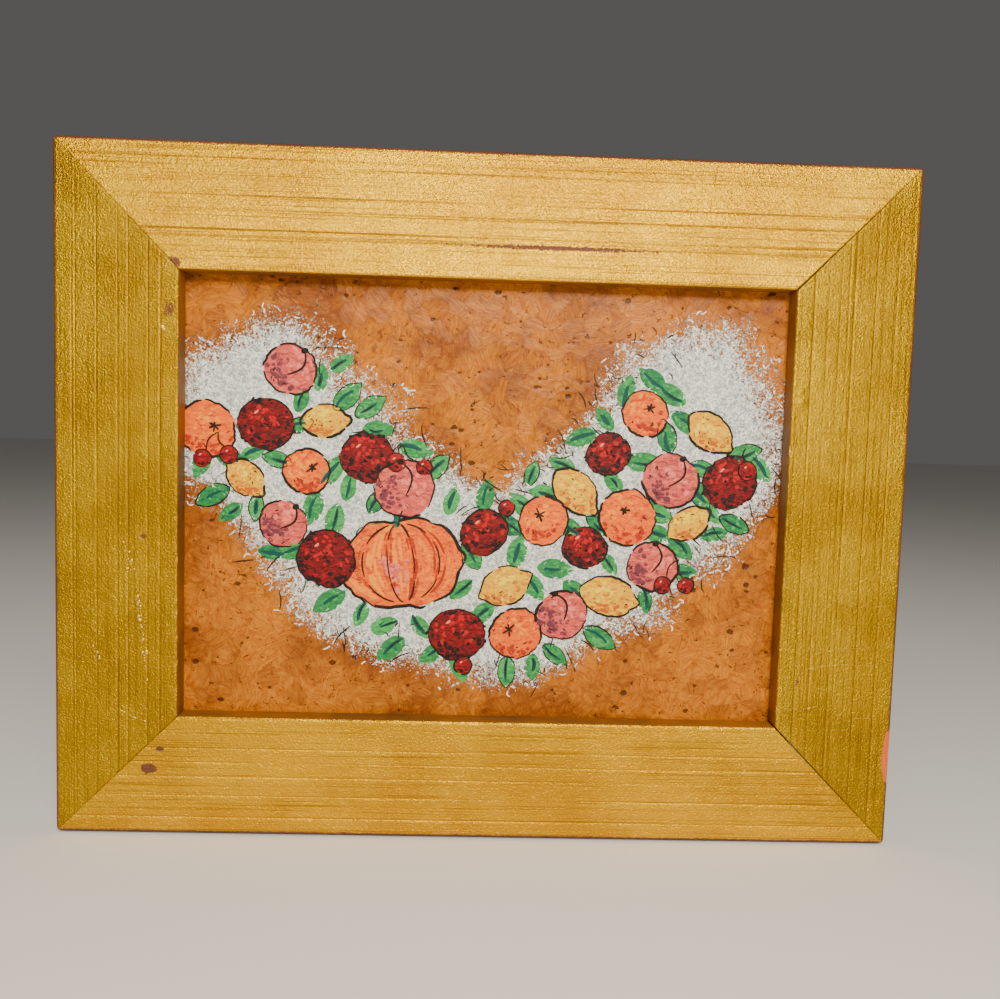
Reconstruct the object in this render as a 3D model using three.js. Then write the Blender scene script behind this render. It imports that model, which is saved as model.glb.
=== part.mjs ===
// A small framed oil painting: a painted sheet of cork held in the rabbet of a gilt wooden
// moulding, made of four lengths that are mitred and glued at the corners.
//
// Millimetres, +Z up. The picture faces -Y and its back lies in the plane y = 0, against the
// wall. The origin is on the back of the top rail, half way along it and half way across its
// flat back, which is where the frame bears on whatever holds it up. X runs along the width.

import * as THREE from 'three';

// ---------------------------------------------------------------------------------------
// Driving dimensions
// ---------------------------------------------------------------------------------------

// The painted sheet: 6 x 4 1/2 inches, in eighth-inch cork.
const PANEL_WIDTH = 152.4;
const PANEL_HEIGHT = 114.3;
const PANEL_THICKNESS = 3.2;
const PANEL_EDGE_ROUND = 0.4;

// The moulding's section.
const LIP = 5.6;                // how far the moulding laps over the sheet's edge
const RABBET_PLAY = 0.8;        // room left beside the sheet in the rabbet
const FACE_WIDTH = 29.4;        // from the outer edge to the sight edge
const OUTER_DEPTH = 12.7;       // back to front at the outer edge
const SIGHT_DEPTH = 15.9;       // back to front at the sight edge, so that the face slopes out
const SIGHT_WALL = 5.8;         // depth of the wall from the gilt face down to the sheet
const OUTER_ARRIS = 0.9;        // how far back from each arris its rounding starts
const SIGHT_ARRIS = 0.6;
const LIP_ARRIS = 0.3;
const BACK_ARRIS = 0.5;
const ARRIS_STEPS = 4;

// Clearances between pieces that touch.
const SEAT_GAP = 0.3;           // between the lip and the face of the sheet
const MITRE_GAP = 0.3;          // between two lengths of moulding, square to the joint

// The deepest of the lines scored along the gesso before it was gilded. Each is placed by its
// distance from the outer edge. The four lengths come from one long moulding, so they share
// the same comb of lines, but each was rubbed down by hand and lost some of them.
const SCORE_WIDTH = 0.5;
const SCORE_DEPTH = 0.22;
const SCORES = {
  frame_top_rail: [3.7, 5.6, 12.3, 15.5, 20.0, 21.6],
  frame_bottom_rail: [4.2, 9.7, 14.5, 18.1, 21.6],
  frame_left_stile: [4.4, 10.2, 15.2, 17.7, 22.3, 25.2],
  frame_right_stile: [5.0, 10.2, 15.4, 18.7, 21.6, 25.2],
};

// ---------------------------------------------------------------------------------------
// Sizes that follow
// ---------------------------------------------------------------------------------------

const SIGHT_WIDTH = PANEL_WIDTH - 2 * LIP;
const SIGHT_HEIGHT = PANEL_HEIGHT - 2 * LIP;
const OUTER_WIDTH = SIGHT_WIDTH + 2 * FACE_WIDTH;
const OUTER_HEIGHT = SIGHT_HEIGHT + 2 * FACE_WIDTH;
const RABBET_DEPTH = SIGHT_DEPTH - SIGHT_WALL;
const BACK_WIDTH = FACE_WIDTH - LIP - RABBET_PLAY;      // the flat back beside the rabbet
const TOP_EDGE = BACK_WIDTH / 2;                        // the top of the frame above the origin
const CENTRE_HEIGHT = TOP_EDGE - OUTER_HEIGHT / 2;
const MITRE_SETBACK = (MITRE_GAP / 2) * Math.SQRT2;     // half the joint's gap, along a length

// ---------------------------------------------------------------------------------------
// Finishes
// ---------------------------------------------------------------------------------------

const brightGilt = new THREE.MeshStandardMaterial({
  color: 0xe0ad3c,
  roughness: 0.42,
  metalness: 0.85,
});
const dullGilt = new THREE.MeshStandardMaterial({
  color: 0xb58a3a,
  roughness: 0.5,
  metalness: 0.85,
});
const varnishedCork = new THREE.MeshStandardMaterial({
  color: 0xc07f34,
  roughness: 0.35,
  metalness: 0,
});

// ---------------------------------------------------------------------------------------
// The moulding
// ---------------------------------------------------------------------------------------

// The gilt face slopes evenly forward from the outer edge to the sight edge.
function faceDepth(across) {
  return OUTER_DEPTH + ((SIGHT_DEPTH - OUTER_DEPTH) * across) / FACE_WIDTH;
}

// Draws a shape through its corners, easing each one by the radius that it states.
function easedShape(corners) {
  const shape = new THREE.Shape();
  corners.forEach((corner, index) => {
    const before = corners[(index + corners.length - 1) % corners.length];
    const after = corners[(index + 1) % corners.length];
    const enter = corner.point.clone();
    const leave = corner.point.clone();
    if (corner.ease) {
      enter.add(before.point.clone().sub(corner.point).setLength(corner.ease));
      leave.add(after.point.clone().sub(corner.point).setLength(corner.ease));
    }
    if (index === 0) shape.moveTo(enter.x, enter.y);
    else shape.lineTo(enter.x, enter.y);
    if (corner.ease) shape.quadraticCurveTo(corner.point.x, corner.point.y, leave.x, leave.y);
  });
  shape.closePath();
  return shape;
}

const corner = (across, forward, ease = 0) => ({
  point: new THREE.Vector2(across, forward),
  ease,
});

// One scored line: in at one side, down to the middle and out at the other.
function scoreCorners(across) {
  const half = SCORE_WIDTH / 2;
  return [
    corner(across - half, faceDepth(across - half)),
    corner(across, faceDepth(across) - SCORE_DEPTH),
    corner(across + half, faceDepth(across + half)),
  ];
}

// The section of the moulding: x runs across from the outer edge towards the opening, and
// y runs forward from the flat back.
function mouldingSection(scores) {
  return easedShape([
    corner(0, 0, BACK_ARRIS),
    corner(BACK_WIDTH, 0),
    corner(BACK_WIDTH, RABBET_DEPTH),
    corner(FACE_WIDTH, RABBET_DEPTH, LIP_ARRIS),
    corner(FACE_WIDTH, SIGHT_DEPTH, SIGHT_ARRIS),
    ...[...scores].reverse().flatMap((across) => scoreCorners(across).reverse()),
    corner(0, OUTER_DEPTH, OUTER_ARRIS),
  ]);
}

// Cuts both ends of an extruded length at 45 degrees: each end comes in by as much as the
// point lies in from the outer edge.
function cutMitres(geometry, length) {
  const points = geometry.getAttribute('position');
  for (let i = 0; i < points.count; i += 1) {
    const inset = points.getX(i) + MITRE_SETBACK;
    points.setZ(i, points.getZ(i) < length / 2 ? inset : length - inset);
  }
  geometry.computeVertexNormals();
}

// One length of moulding. Its section's x axis is turned to point into the opening, its y axis
// to the front, and it runs from the corner of the frame where it starts.
function mouldingLength(name, length, inward, start, material) {
  const geometry = new THREE.ExtrudeGeometry(mouldingSection(SCORES[name]), {
    depth: length,
    steps: 1,
    bevelEnabled: false,
    curveSegments: ARRIS_STEPS,
  });
  cutMitres(geometry, length);
  const forward = new THREE.Vector3(0, -1, 0);
  const along = new THREE.Vector3().crossVectors(inward, forward);
  const mesh = new THREE.Mesh(geometry, material);
  mesh.name = name;
  mesh.setRotationFromMatrix(new THREE.Matrix4().makeBasis(inward, forward, along));
  mesh.position.copy(start);
  return mesh;
}

function frame() {
  const side = OUTER_WIDTH / 2;
  const rise = OUTER_HEIGHT / 2;
  const group = new THREE.Group();
  group.add(
    mouldingLength(
      'frame_top_rail', OUTER_WIDTH,
      new THREE.Vector3(0, 0, -1), new THREE.Vector3(side, 0, rise), brightGilt,
    ),
    mouldingLength(
      'frame_bottom_rail', OUTER_WIDTH,
      new THREE.Vector3(0, 0, 1), new THREE.Vector3(-side, 0, -rise), brightGilt,
    ),
    mouldingLength(
      'frame_left_stile', OUTER_HEIGHT,
      new THREE.Vector3(1, 0, 0), new THREE.Vector3(-side, 0, rise), dullGilt,
    ),
    mouldingLength(
      'frame_right_stile', OUTER_HEIGHT,
      new THREE.Vector3(-1, 0, 0), new THREE.Vector3(side, 0, -rise), dullGilt,
    ),
  );
  return group;
}

// ---------------------------------------------------------------------------------------
// The painted sheet
// ---------------------------------------------------------------------------------------

// A thin rectangular sheet of cork with softened edges, its painted face towards -Y, seated just
// behind the lip of the moulding.
function paintedPanel() {
  const halfWidth = PANEL_WIDTH / 2 - PANEL_EDGE_ROUND;
  const halfHeight = PANEL_HEIGHT / 2 - PANEL_EDGE_ROUND;
  const outline = easedShape([
    corner(-halfWidth, -halfHeight),
    corner(halfWidth, -halfHeight),
    corner(halfWidth, halfHeight),
    corner(-halfWidth, halfHeight),
  ]);
  const geometry = new THREE.ExtrudeGeometry(outline, {
    depth: PANEL_THICKNESS - 2 * PANEL_EDGE_ROUND,
    steps: 1,
    bevelEnabled: true,
    bevelSize: PANEL_EDGE_ROUND,
    bevelThickness: PANEL_EDGE_ROUND,
    bevelSegments: 2,
  });
  const mesh = new THREE.Mesh(geometry, varnishedCork);
  mesh.name = 'painted_panel';
  mesh.rotation.x = Math.PI / 2;
  mesh.position.y = -(RABBET_DEPTH - SEAT_GAP) + PANEL_THICKNESS - PANEL_EDGE_ROUND;
  return mesh;
}

// ---------------------------------------------------------------------------------------
// The whole picture
// ---------------------------------------------------------------------------------------

const framedPainting = new THREE.Group();
const picture = new THREE.Group();
picture.position.z = CENTRE_HEIGHT;
picture.add(frame(), paintedPanel());
framedPainting.add(picture);

export default framedPainting;
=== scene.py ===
"""Dresses a small framed oil painting: gilt moulding, painted cork board and its paint.

Sizes are in millimetres on the object's own faces, and turn into metres when a piece is
placed. The picture faces -Y, +Z is up, and the back of the frame lies in the plane y = 0.
"""

from __future__ import annotations

import logging
import math
import random
from collections.abc import Callable, Iterable, Sequence
from dataclasses import dataclass, field
from enum import Enum

import bmesh
import bpy
from mathutils import Matrix, Vector, noise


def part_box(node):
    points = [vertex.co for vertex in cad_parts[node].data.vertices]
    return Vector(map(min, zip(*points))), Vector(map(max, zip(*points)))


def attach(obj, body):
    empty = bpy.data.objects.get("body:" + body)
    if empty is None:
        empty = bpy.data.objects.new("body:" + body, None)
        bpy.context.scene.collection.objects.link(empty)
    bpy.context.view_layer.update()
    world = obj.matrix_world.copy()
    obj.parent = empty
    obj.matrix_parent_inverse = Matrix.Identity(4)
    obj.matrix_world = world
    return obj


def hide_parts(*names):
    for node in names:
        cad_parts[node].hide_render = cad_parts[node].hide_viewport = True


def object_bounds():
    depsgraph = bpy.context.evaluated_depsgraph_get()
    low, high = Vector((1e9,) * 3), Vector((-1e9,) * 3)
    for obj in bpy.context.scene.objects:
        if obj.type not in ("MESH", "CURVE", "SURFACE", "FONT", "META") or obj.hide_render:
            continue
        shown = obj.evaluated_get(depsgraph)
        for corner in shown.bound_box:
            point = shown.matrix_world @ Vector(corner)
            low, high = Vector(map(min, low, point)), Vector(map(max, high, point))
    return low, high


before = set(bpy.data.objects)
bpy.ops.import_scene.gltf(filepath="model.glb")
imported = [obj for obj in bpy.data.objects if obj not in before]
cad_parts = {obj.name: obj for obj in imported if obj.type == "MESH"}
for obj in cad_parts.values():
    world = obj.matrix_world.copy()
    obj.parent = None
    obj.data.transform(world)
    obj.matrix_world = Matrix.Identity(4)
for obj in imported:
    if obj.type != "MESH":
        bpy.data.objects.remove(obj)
CAD_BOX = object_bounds()

log = logging.getLogger("framed_painting")

MM = 0.001
FORWARD = Vector((0.0, -1.0, 0.0))
VARNISH_SHINE = 0.2
MIX_COLOURS = (6, 7)  # the inputs of a Mix node that take its two colours
MIXED_COLOUR = 2  # its output that gives their mixture
Colour = tuple[float, float, float]
Socket = bpy.types.NodeSocket
Material = bpy.types.Material
Shape = bmesh.types.BMesh
Piece = bpy.types.Object


def srgb(red: int, green: int, blue: int) -> Colour:
    """Turns a colour as given, 0 to 255 a channel, into linear light.

    Args:
        red: The red channel.
        green: The green channel.
        blue: The blue channel.

    Returns:
        The three channels in linear light, 0 to 1.
    """

    def linear(channel: int) -> float:
        """One channel in linear light."""
        share = channel / 255
        return share / 12.92 if share <= 0.04045 else ((share + 0.055) / 1.055) ** 2.4

    return linear(red), linear(green), linear(blue)


def shaded(colour: Colour, share: float) -> Colour:
    """A colour with only a share of its light."""
    return tuple(channel * share for channel in colour)


def ease(value: float) -> float:
    """A smooth step from 0 to 1 as the value goes from 0 to 1."""
    held = min(max(value, 0.0), 1.0)
    return held * held * (3 - 2 * held)


def ripple(*place: float) -> float:
    """Smooth noise from -1 to 1 at a place given by up to three numbers."""
    return noise.noise(Vector((*place, *(0.0,) * (3 - len(place)))))


# Nodes


class Bench:
    """Lays out the nodes of one tree, so that a finish reads from top to bottom."""

    def __init__(self, tree: bpy.types.NodeTree) -> None:
        """Starts work on a tree.

        Args:
            tree: The tree of a material or of a node group.
        """
        self.tree = tree

    def node(self, kind: str, inputs: dict | None = None, **settings: object) -> bpy.types.Node:
        """Adds a node.

        Args:
            kind: The node's type name, without its ShaderNode prefix.
            inputs: Values or output sockets for its inputs, by name or number.
            **settings: The node's own properties.

        Returns:
            The new node.
        """
        made = self.tree.nodes.new(kind if kind.startswith("Node") else f"ShaderNode{kind}")
        for name, value in settings.items():
            setattr(made, name, value)
        return self.fill(made, inputs or {})

    def fill(self, made: bpy.types.Node, inputs: dict) -> bpy.types.Node:
        """Links or sets the inputs of a node.

        Args:
            made: The node.
            inputs: Values or output sockets for its inputs, by name or number.

        Returns:
            The same node.
        """
        for name, value in inputs.items():
            if isinstance(value, Socket):
                self.tree.links.new(value, made.inputs[name])
            else:
                made.inputs[name].default_value = value
        return made

    def maths(self, operation: str, first: object, second: object = 0.0) -> Socket:
        """One sum on two numbers or sockets."""
        return self.node("Math", {0: first, 1: second}, operation=operation).outputs[0]

    def remap(
        self, value: object, low: float, high: float, to_low: float = 0.0, to_high: float = 1.0
    ) -> Socket:
        """A smooth, clamped change of range.

        Args:
            value: The number or socket to change.
            low: Where the change starts.
            high: Where it ends.
            to_low: The result at and below the start.
            to_high: The result at and past the end.

        Returns:
            The socket of the result.
        """
        made = self.node(
            "MapRange",
            {"Value": value, "From Min": low, "From Max": high, "To Min": to_low, "To Max": to_high},
            interpolation_type="SMOOTHSTEP",
        )
        return made.outputs["Result"]

    def mix(self, share: object, first: object, second: object) -> Socket:
        """Mixes two colours, each a Colour or a socket.

        Args:
            share: How much of the second colour there is.
            first: The colour at a share of 0.
            second: The colour at a share of 1.

        Returns:
            The socket of the mixed colour.
        """
        ends = {
            socket: colour if isinstance(colour, Socket) else (*colour, 1.0)
            for socket, colour in zip(MIX_COLOURS, (first, second))
        }
        made = self.node("Mix", data_type="RGBA")
        return self.fill(made, {"Factor": share, **ends}).outputs[MIXED_COLOUR]

    def noise(
        self, vector: Socket, scale: float, detail: float = 2.0, rough: float = 0.5,
        distortion: float = 0.0,
    ) -> Socket:
        """Noise from 0 to 1.

        Args:
            vector: Where it is read.
            scale: How many waves there are to a unit of the vector.
            detail: How many finer layers it has.
            rough: How strong the finer layers are.
            distortion: How far it is stirred.

        Returns:
            The socket of the value.
        """
        layers = {"Detail": detail, "Roughness": rough, "Distortion": distortion}
        return self.node("TexNoise", {"Vector": vector, "Scale": scale, **layers}).outputs["Fac"]

    def stretch(
        self, vector: Socket, scale: Sequence[float], turn: Sequence[float] = (0, 0, 0)
    ) -> Socket:
        """Scales and turns the coordinates of a pattern.

        Args:
            vector: The coordinates.
            scale: How much closer the pattern is drawn, on each axis.
            turn: The turn about each axis, in radians.

        Returns:
            The socket of the new coordinates.
        """
        changes = {"Vector": vector, "Scale": tuple(scale), "Rotation": tuple(turn)}
        return self.node("Mapping", changes).outputs["Vector"]

    def group(self, tree: bpy.types.NodeTree, inputs: dict) -> bpy.types.Node:
        """Places a shared effect, with values of its own."""
        return self.node("Group", inputs, node_tree=tree)

    def scaled(self, vector: Socket, amount: object) -> Socket:
        """Makes a vector longer or shorter by an amount."""
        return self.node("VectorMath", {0: vector, "Scale": amount}, operation="SCALE").outputs[0]

    def sum_of(self, first: Socket, second: Socket) -> Socket:
        """Adds two vectors."""
        return self.node("VectorMath", {0: first, 1: second}, operation="ADD").outputs[0]

    def in_millimetres(self) -> Socket:
        """The piece's own coordinates, with a unit to the millimetre."""
        place = self.node("TexCoord").outputs["Object"]
        return self.stretch(place, (1 / MM,) * 3)

    def reading(self, attribute: str) -> Socket:
        """A number that the piece's mesh carries at each of its points."""
        return self.node("Attribute", attribute_name=attribute).outputs["Fac"]


class SharedEffect:
    """A node group that several finishes place, each with its own values."""

    name = "effect"
    inputs: dict[str, tuple[str, object]] = {}
    outputs: tuple[str, ...] = ()
    _made: dict[str, bpy.types.NodeTree] = {}

    @classmethod
    def tree(cls) -> bpy.types.NodeTree:
        """The group, built the first time that it is asked for.

        Returns:
            The group's tree.
        """
        if cls.name not in SharedEffect._made:
            tree = bpy.data.node_groups.new(cls.name, "ShaderNodeTree")
            for title, (kind, value) in cls.inputs.items():
                socket = tree.interface.new_socket(title, in_out="INPUT", socket_type=kind)
                if value is not None:
                    socket.default_value = value
            for title in cls.outputs:
                tree.interface.new_socket(title, in_out="OUTPUT", socket_type="NodeSocketFloat")
            bench = Bench(tree)
            entry = bench.node("NodeGroupInput")
            exit_ = bench.node("NodeGroupOutput")
            for title, result in cls.build(bench, entry.outputs).items():
                tree.links.new(result, exit_.inputs[title])
            SharedEffect._made[cls.name] = tree
        return SharedEffect._made[cls.name]

    @classmethod
    def build(cls, bench: Bench, given: bpy.types.NodeOutputs) -> dict[str, Socket]:
        """Builds the effect between its inputs and outputs.

        Args:
            bench: Where the nodes are laid out.
            given: The sockets of the group's inputs.

        Returns:
            The socket for each of the group's outputs.
        """
        raise NotImplementedError


class CombedLines(SharedEffect):
    """Fine lines along a length, as a comb or a stiff brush leaves them, that come and go."""

    name = "combed_lines"
    inputs = {
        "Vector": ("NodeSocketVector", None),
        "Seed": ("NodeSocketFloat", 0.0),
    }
    outputs = ("Height", "Valleys")

    @classmethod
    def build(cls, bench: Bench, given: bpy.types.NodeOutputs) -> dict[str, Socket]:
        """Adds coarse and fine lines, and finds the deepest of both.

        Args:
            bench: Where the nodes are laid out.
            given: The sockets of the group's inputs.

        Returns:
            The socket for each of the group's outputs.
        """
        shift = bench.node("CombineXYZ", {"Z": given["Seed"]}).outputs[0]
        place = bench.sum_of(given["Vector"], shift)
        coarse = bench.noise(bench.stretch(place, (0.010, 1.15, 1.0)), 1.0, 3.0, 0.62)
        fine = bench.noise(bench.stretch(place, (0.03, 3.2, 1.0)), 1.0, 2.0, 0.6)
        height = bench.maths("MULTIPLY", bench.maths("ADD", coarse, fine), 0.5)
        valleys = bench.remap(height, 0.49, 0.37)
        return {"Height": height, "Valleys": valleys}


class Grain(SharedEffect):
    """An even fine grain, such as gesso under leaf, with a few darker pits."""

    name = "grain"
    inputs = {
        "Vector": ("NodeSocketVector", None),
        "Scale": ("NodeSocketFloat", 2.0),
    }
    outputs = ("Height", "Pits")

    @classmethod
    def build(cls, bench: Bench, given: bpy.types.NodeOutputs) -> dict[str, Socket]:
        """Takes soft bumps for the grain, and the rare deep ones of a coarser kind for the pits.

        Args:
            bench: Where the nodes are laid out.
            given: The sockets of the group's inputs.

        Returns:
            The socket for each of the group's outputs.
        """
        scaled = bench.scaled(given["Vector"], given["Scale"])
        bumps = bench.noise(scaled, 1.0, 2.5, 0.6, 0.4)
        coarse = bench.noise(scaled, 0.32, 3.0, 0.7)
        return {"Height": bumps, "Pits": bench.remap(coarse, 0.30, 0.22)}


class RaggedEdge(SharedEffect):
    """Breaks up the edge of a mask, as rubbed leaf or dry paint breaks up."""

    name = "ragged_edge"
    inputs = {
        "Vector": ("NodeSocketVector", None),
        "Amount": ("NodeSocketFloat", 0.0),
        "Scale": ("NodeSocketFloat", 1.0),
        "Reach": ("NodeSocketFloat", 0.6),
    }
    outputs = ("Mask",)

    @classmethod
    def build(cls, bench: Bench, given: bpy.types.NodeOutputs) -> dict[str, Socket]:
        """Moves the amount up and down by noise, and cuts it at a half.

        Args:
            bench: Where the nodes are laid out.
            given: The sockets of the group's inputs.

        Returns:
            The socket for each of the group's outputs.
        """
        scaled = bench.scaled(given["Vector"], given["Scale"])
        torn = bench.noise(scaled, 1.0, 4.0, 0.65, 0.6)
        swing = bench.maths("MULTIPLY", bench.maths("SUBTRACT", torn, 0.5), given["Reach"])
        return {"Mask": bench.remap(bench.maths("ADD", given["Amount"], swing), 0.44, 0.56)}


class BrushMarks(SharedEffect):
    """The ridges and streaks that a small brush leaves, curling this way and that."""

    name = "brush_marks"
    inputs = {
        "Vector": ("NodeSocketVector", None),
        "Scale": ("NodeSocketFloat", 1.0),
    }
    outputs = ("Height", "Streaks")

    @classmethod
    def build(cls, bench: Bench, given: bpy.types.NodeOutputs) -> dict[str, Socket]:
        """Stirs stretched noise, so that its streaks curl.

        Args:
            bench: Where the nodes are laid out.
            given: The sockets of the group's inputs.

        Returns:
            The socket for each of the group's outputs.
        """
        scaled = bench.scaled(given["Vector"], given["Scale"])
        ridges = bench.noise(bench.stretch(scaled, (1.1, 1.1, 2.6), (0, 0.6, 0)), 1.0, 3.0, 0.6, 1.4)
        streaks = bench.noise(bench.stretch(scaled, (0.7, 1.0, 1.6), (0, -0.5, 0)), 0.8, 4.0, 0.65, 1.0)
        return {"Height": ridges, "Streaks": streaks}


# Finishes


def new_material(name: str) -> tuple[Material, Bench, bpy.types.Node]:
    """Starts a material.

    Args:
        name: The finish's name.

    Returns:
        The material, the bench of its tree, and its main shader.
    """
    material = bpy.data.materials.new(name)
    material.use_nodes = True
    shader = material.node_tree.nodes["Principled BSDF"]
    return material, Bench(material.node_tree), shader


def bump(bench: Bench, height: object, depth: float, under: object = None) -> Socket:
    """Raises a surface by a height.

    Args:
        bench: Where the nodes are laid out.
        height: The socket of the height, 0 to 1.
        depth: How far it stands up, in millimetres.
        under: The normal of a coarser bump below this one, if there is one.

    Returns:
        The socket of the normal.
    """
    made = bench.node("Bump", {"Strength": 1.0, "Distance": depth * MM, "Height": height})
    if under is not None:
        bench.tree.links.new(under, made.inputs["Normal"])
    return made.outputs["Normal"]


def torn(bench: Bench, place: Socket, attribute: str, scale: float, reach: float) -> Socket:
    """A mask with a ragged edge, for a mark that the mesh carries.

    Args:
        bench: Where the nodes are laid out.
        place: The coordinates that the rags are read in.
        attribute: The mark's name.
        scale: How many rags there are to a millimetre.
        reach: How far they move the mark's edge.

    Returns:
        The socket of the mask, 1 where the mark is.
    """
    amount = bench.reading(attribute)
    rags = {"Vector": place, "Amount": amount, "Scale": scale, "Reach": reach}
    return bench.group(RaggedEdge.tree(), rags).outputs["Mask"]


@dataclass(frozen=True)
class GiltFinish:
    """Metal leaf over red-brown bole, toned in its hollows and rubbed through at its edges."""

    name: str
    leaf: Colour
    deep_leaf: Colour
    toner: Colour = srgb(104, 66, 18)
    bole: Colour = srgb(112, 54, 16)
    wall: Colour = srgb(150, 92, 18)
    bare: Colour = srgb(214, 96, 34)
    rough: tuple[float, float] = (0.36, 0.52)
    line_depth: float = 0.13
    grain_depth: float = 0.30
    seed: float = 0.0

    def material(self) -> Material:
        """The leaf, its toner, and what shows where it is gone.

        Returns:
            The material.
        """
        material, bench, shader = new_material(self.name)
        flat = bench.node("UVMap", uv_map="moulding").outputs["UV"]
        solid = bench.in_millimetres()
        lines = bench.group(CombedLines.tree(), {"Vector": flat, "Seed": self.seed})
        grain = bench.group(Grain.tree(), {"Vector": solid, "Scale": 2.3})
        clouds = bench.noise(solid, 0.045, 3.0, 0.6)

        gold = bench.mix(bench.remap(clouds, 0.35, 0.65), self.leaf, self.deep_leaf)
        hollow = bench.maths("MAXIMUM", lines.outputs["Valleys"], bench.reading("score"))
        gold = bench.mix(bench.maths("MULTIPLY", hollow, 0.5), gold, self.toner)
        gold = bench.mix(bench.maths("MULTIPLY", grain.outputs["Pits"], 0.7), gold, self.toner)

        worn = torn(bench, solid, "rub", 1.6, 1.1)
        broken = torn(bench, solid, "bare", 1.2, 0.7)
        drift = bench.remap(clouds, 0.3, 0.7)
        under = bench.mix(drift, self.bole, shaded(self.bole, 0.62))
        under = bench.mix(bench.reading("wall"), under, bench.mix(drift, self.wall, self.toner))
        under = bench.mix(broken, under, self.bare)
        gone = bench.maths("MAXIMUM", worn, broken)

        lined = bump(bench, lines.outputs["Height"], self.line_depth)
        bench.fill(shader, {
            "Base Color": bench.mix(gone, gold, under),
            "Metallic": bench.maths("SUBTRACT", 1.0, gone),
            "Roughness": bench.remap(bench.maths("MAXIMUM", hollow, gone), 0.0, 1.0, *self.rough),
            "Normal": bump(bench, grain.outputs["Height"], self.grain_depth, lined),
        })
        return material


@dataclass(frozen=True)
class BurrFinish:
    """Leaf burnished bright, or a scratch full of toner: a small mark in the gilding."""

    name: str
    light: Colour
    dark: Colour
    metal: float
    rough: float
    grain_depth: float = 0.03

    def material(self) -> Material:
        """One metal or paint, mottled between its two tones.

        Returns:
            The material.
        """
        material, bench, shader = new_material(self.name)
        solid = bench.in_millimetres()
        grain = bench.group(Grain.tree(), {"Vector": solid, "Scale": 3.0})
        tone = bench.remap(grain.outputs["Height"], 0.3, 0.7)
        bench.fill(shader, {
            "Base Color": bench.mix(tone, self.dark, self.light),
            "Metallic": self.metal,
            "Roughness": self.rough,
            "Normal": bump(bench, grain.outputs["Height"], self.grain_depth),
        })
        return material


@dataclass(frozen=True)
class WoodFinish:
    """Plain wood with its grain along the length, stained and dusty."""

    name: str
    light: Colour
    dark: Colour
    rough: float = 0.72
    ring_depth: float = 0.08
    pore_depth: float = 0.05

    def material(self) -> Material:
        """Straight grain, pores and blotches of stain.

        Returns:
            The material.
        """
        material, bench, shader = new_material(self.name)
        flat = bench.node("UVMap", uv_map="moulding").outputs["UV"]
        solid = bench.in_millimetres()
        rings = bench.noise(bench.stretch(flat, (0.02, 0.55, 1.0)), 1.0, 4.0, 0.6, 0.5)
        pores = bench.noise(bench.stretch(flat, (0.35, 7.0, 1.0)), 1.0, 2.0, 0.5)
        blotches = bench.noise(solid, 0.06, 3.0, 0.6)
        tone = bench.mix(bench.remap(rings, 0.35, 0.65), self.light, self.dark)
        tone = bench.mix(bench.remap(pores, 0.42, 0.30, 0.0, 0.6), tone, shaded(self.dark, 0.45))
        tone = bench.mix(bench.remap(blotches, 0.4, 0.7, 0.0, 0.45), tone, shaded(self.dark, 0.6))
        ringed = bump(bench, rings, self.ring_depth)
        bench.fill(shader, {
            "Base Color": tone,
            "Roughness": self.rough,
            "Normal": bump(bench, pores, self.pore_depth, ringed),
        })
        return material


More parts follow.
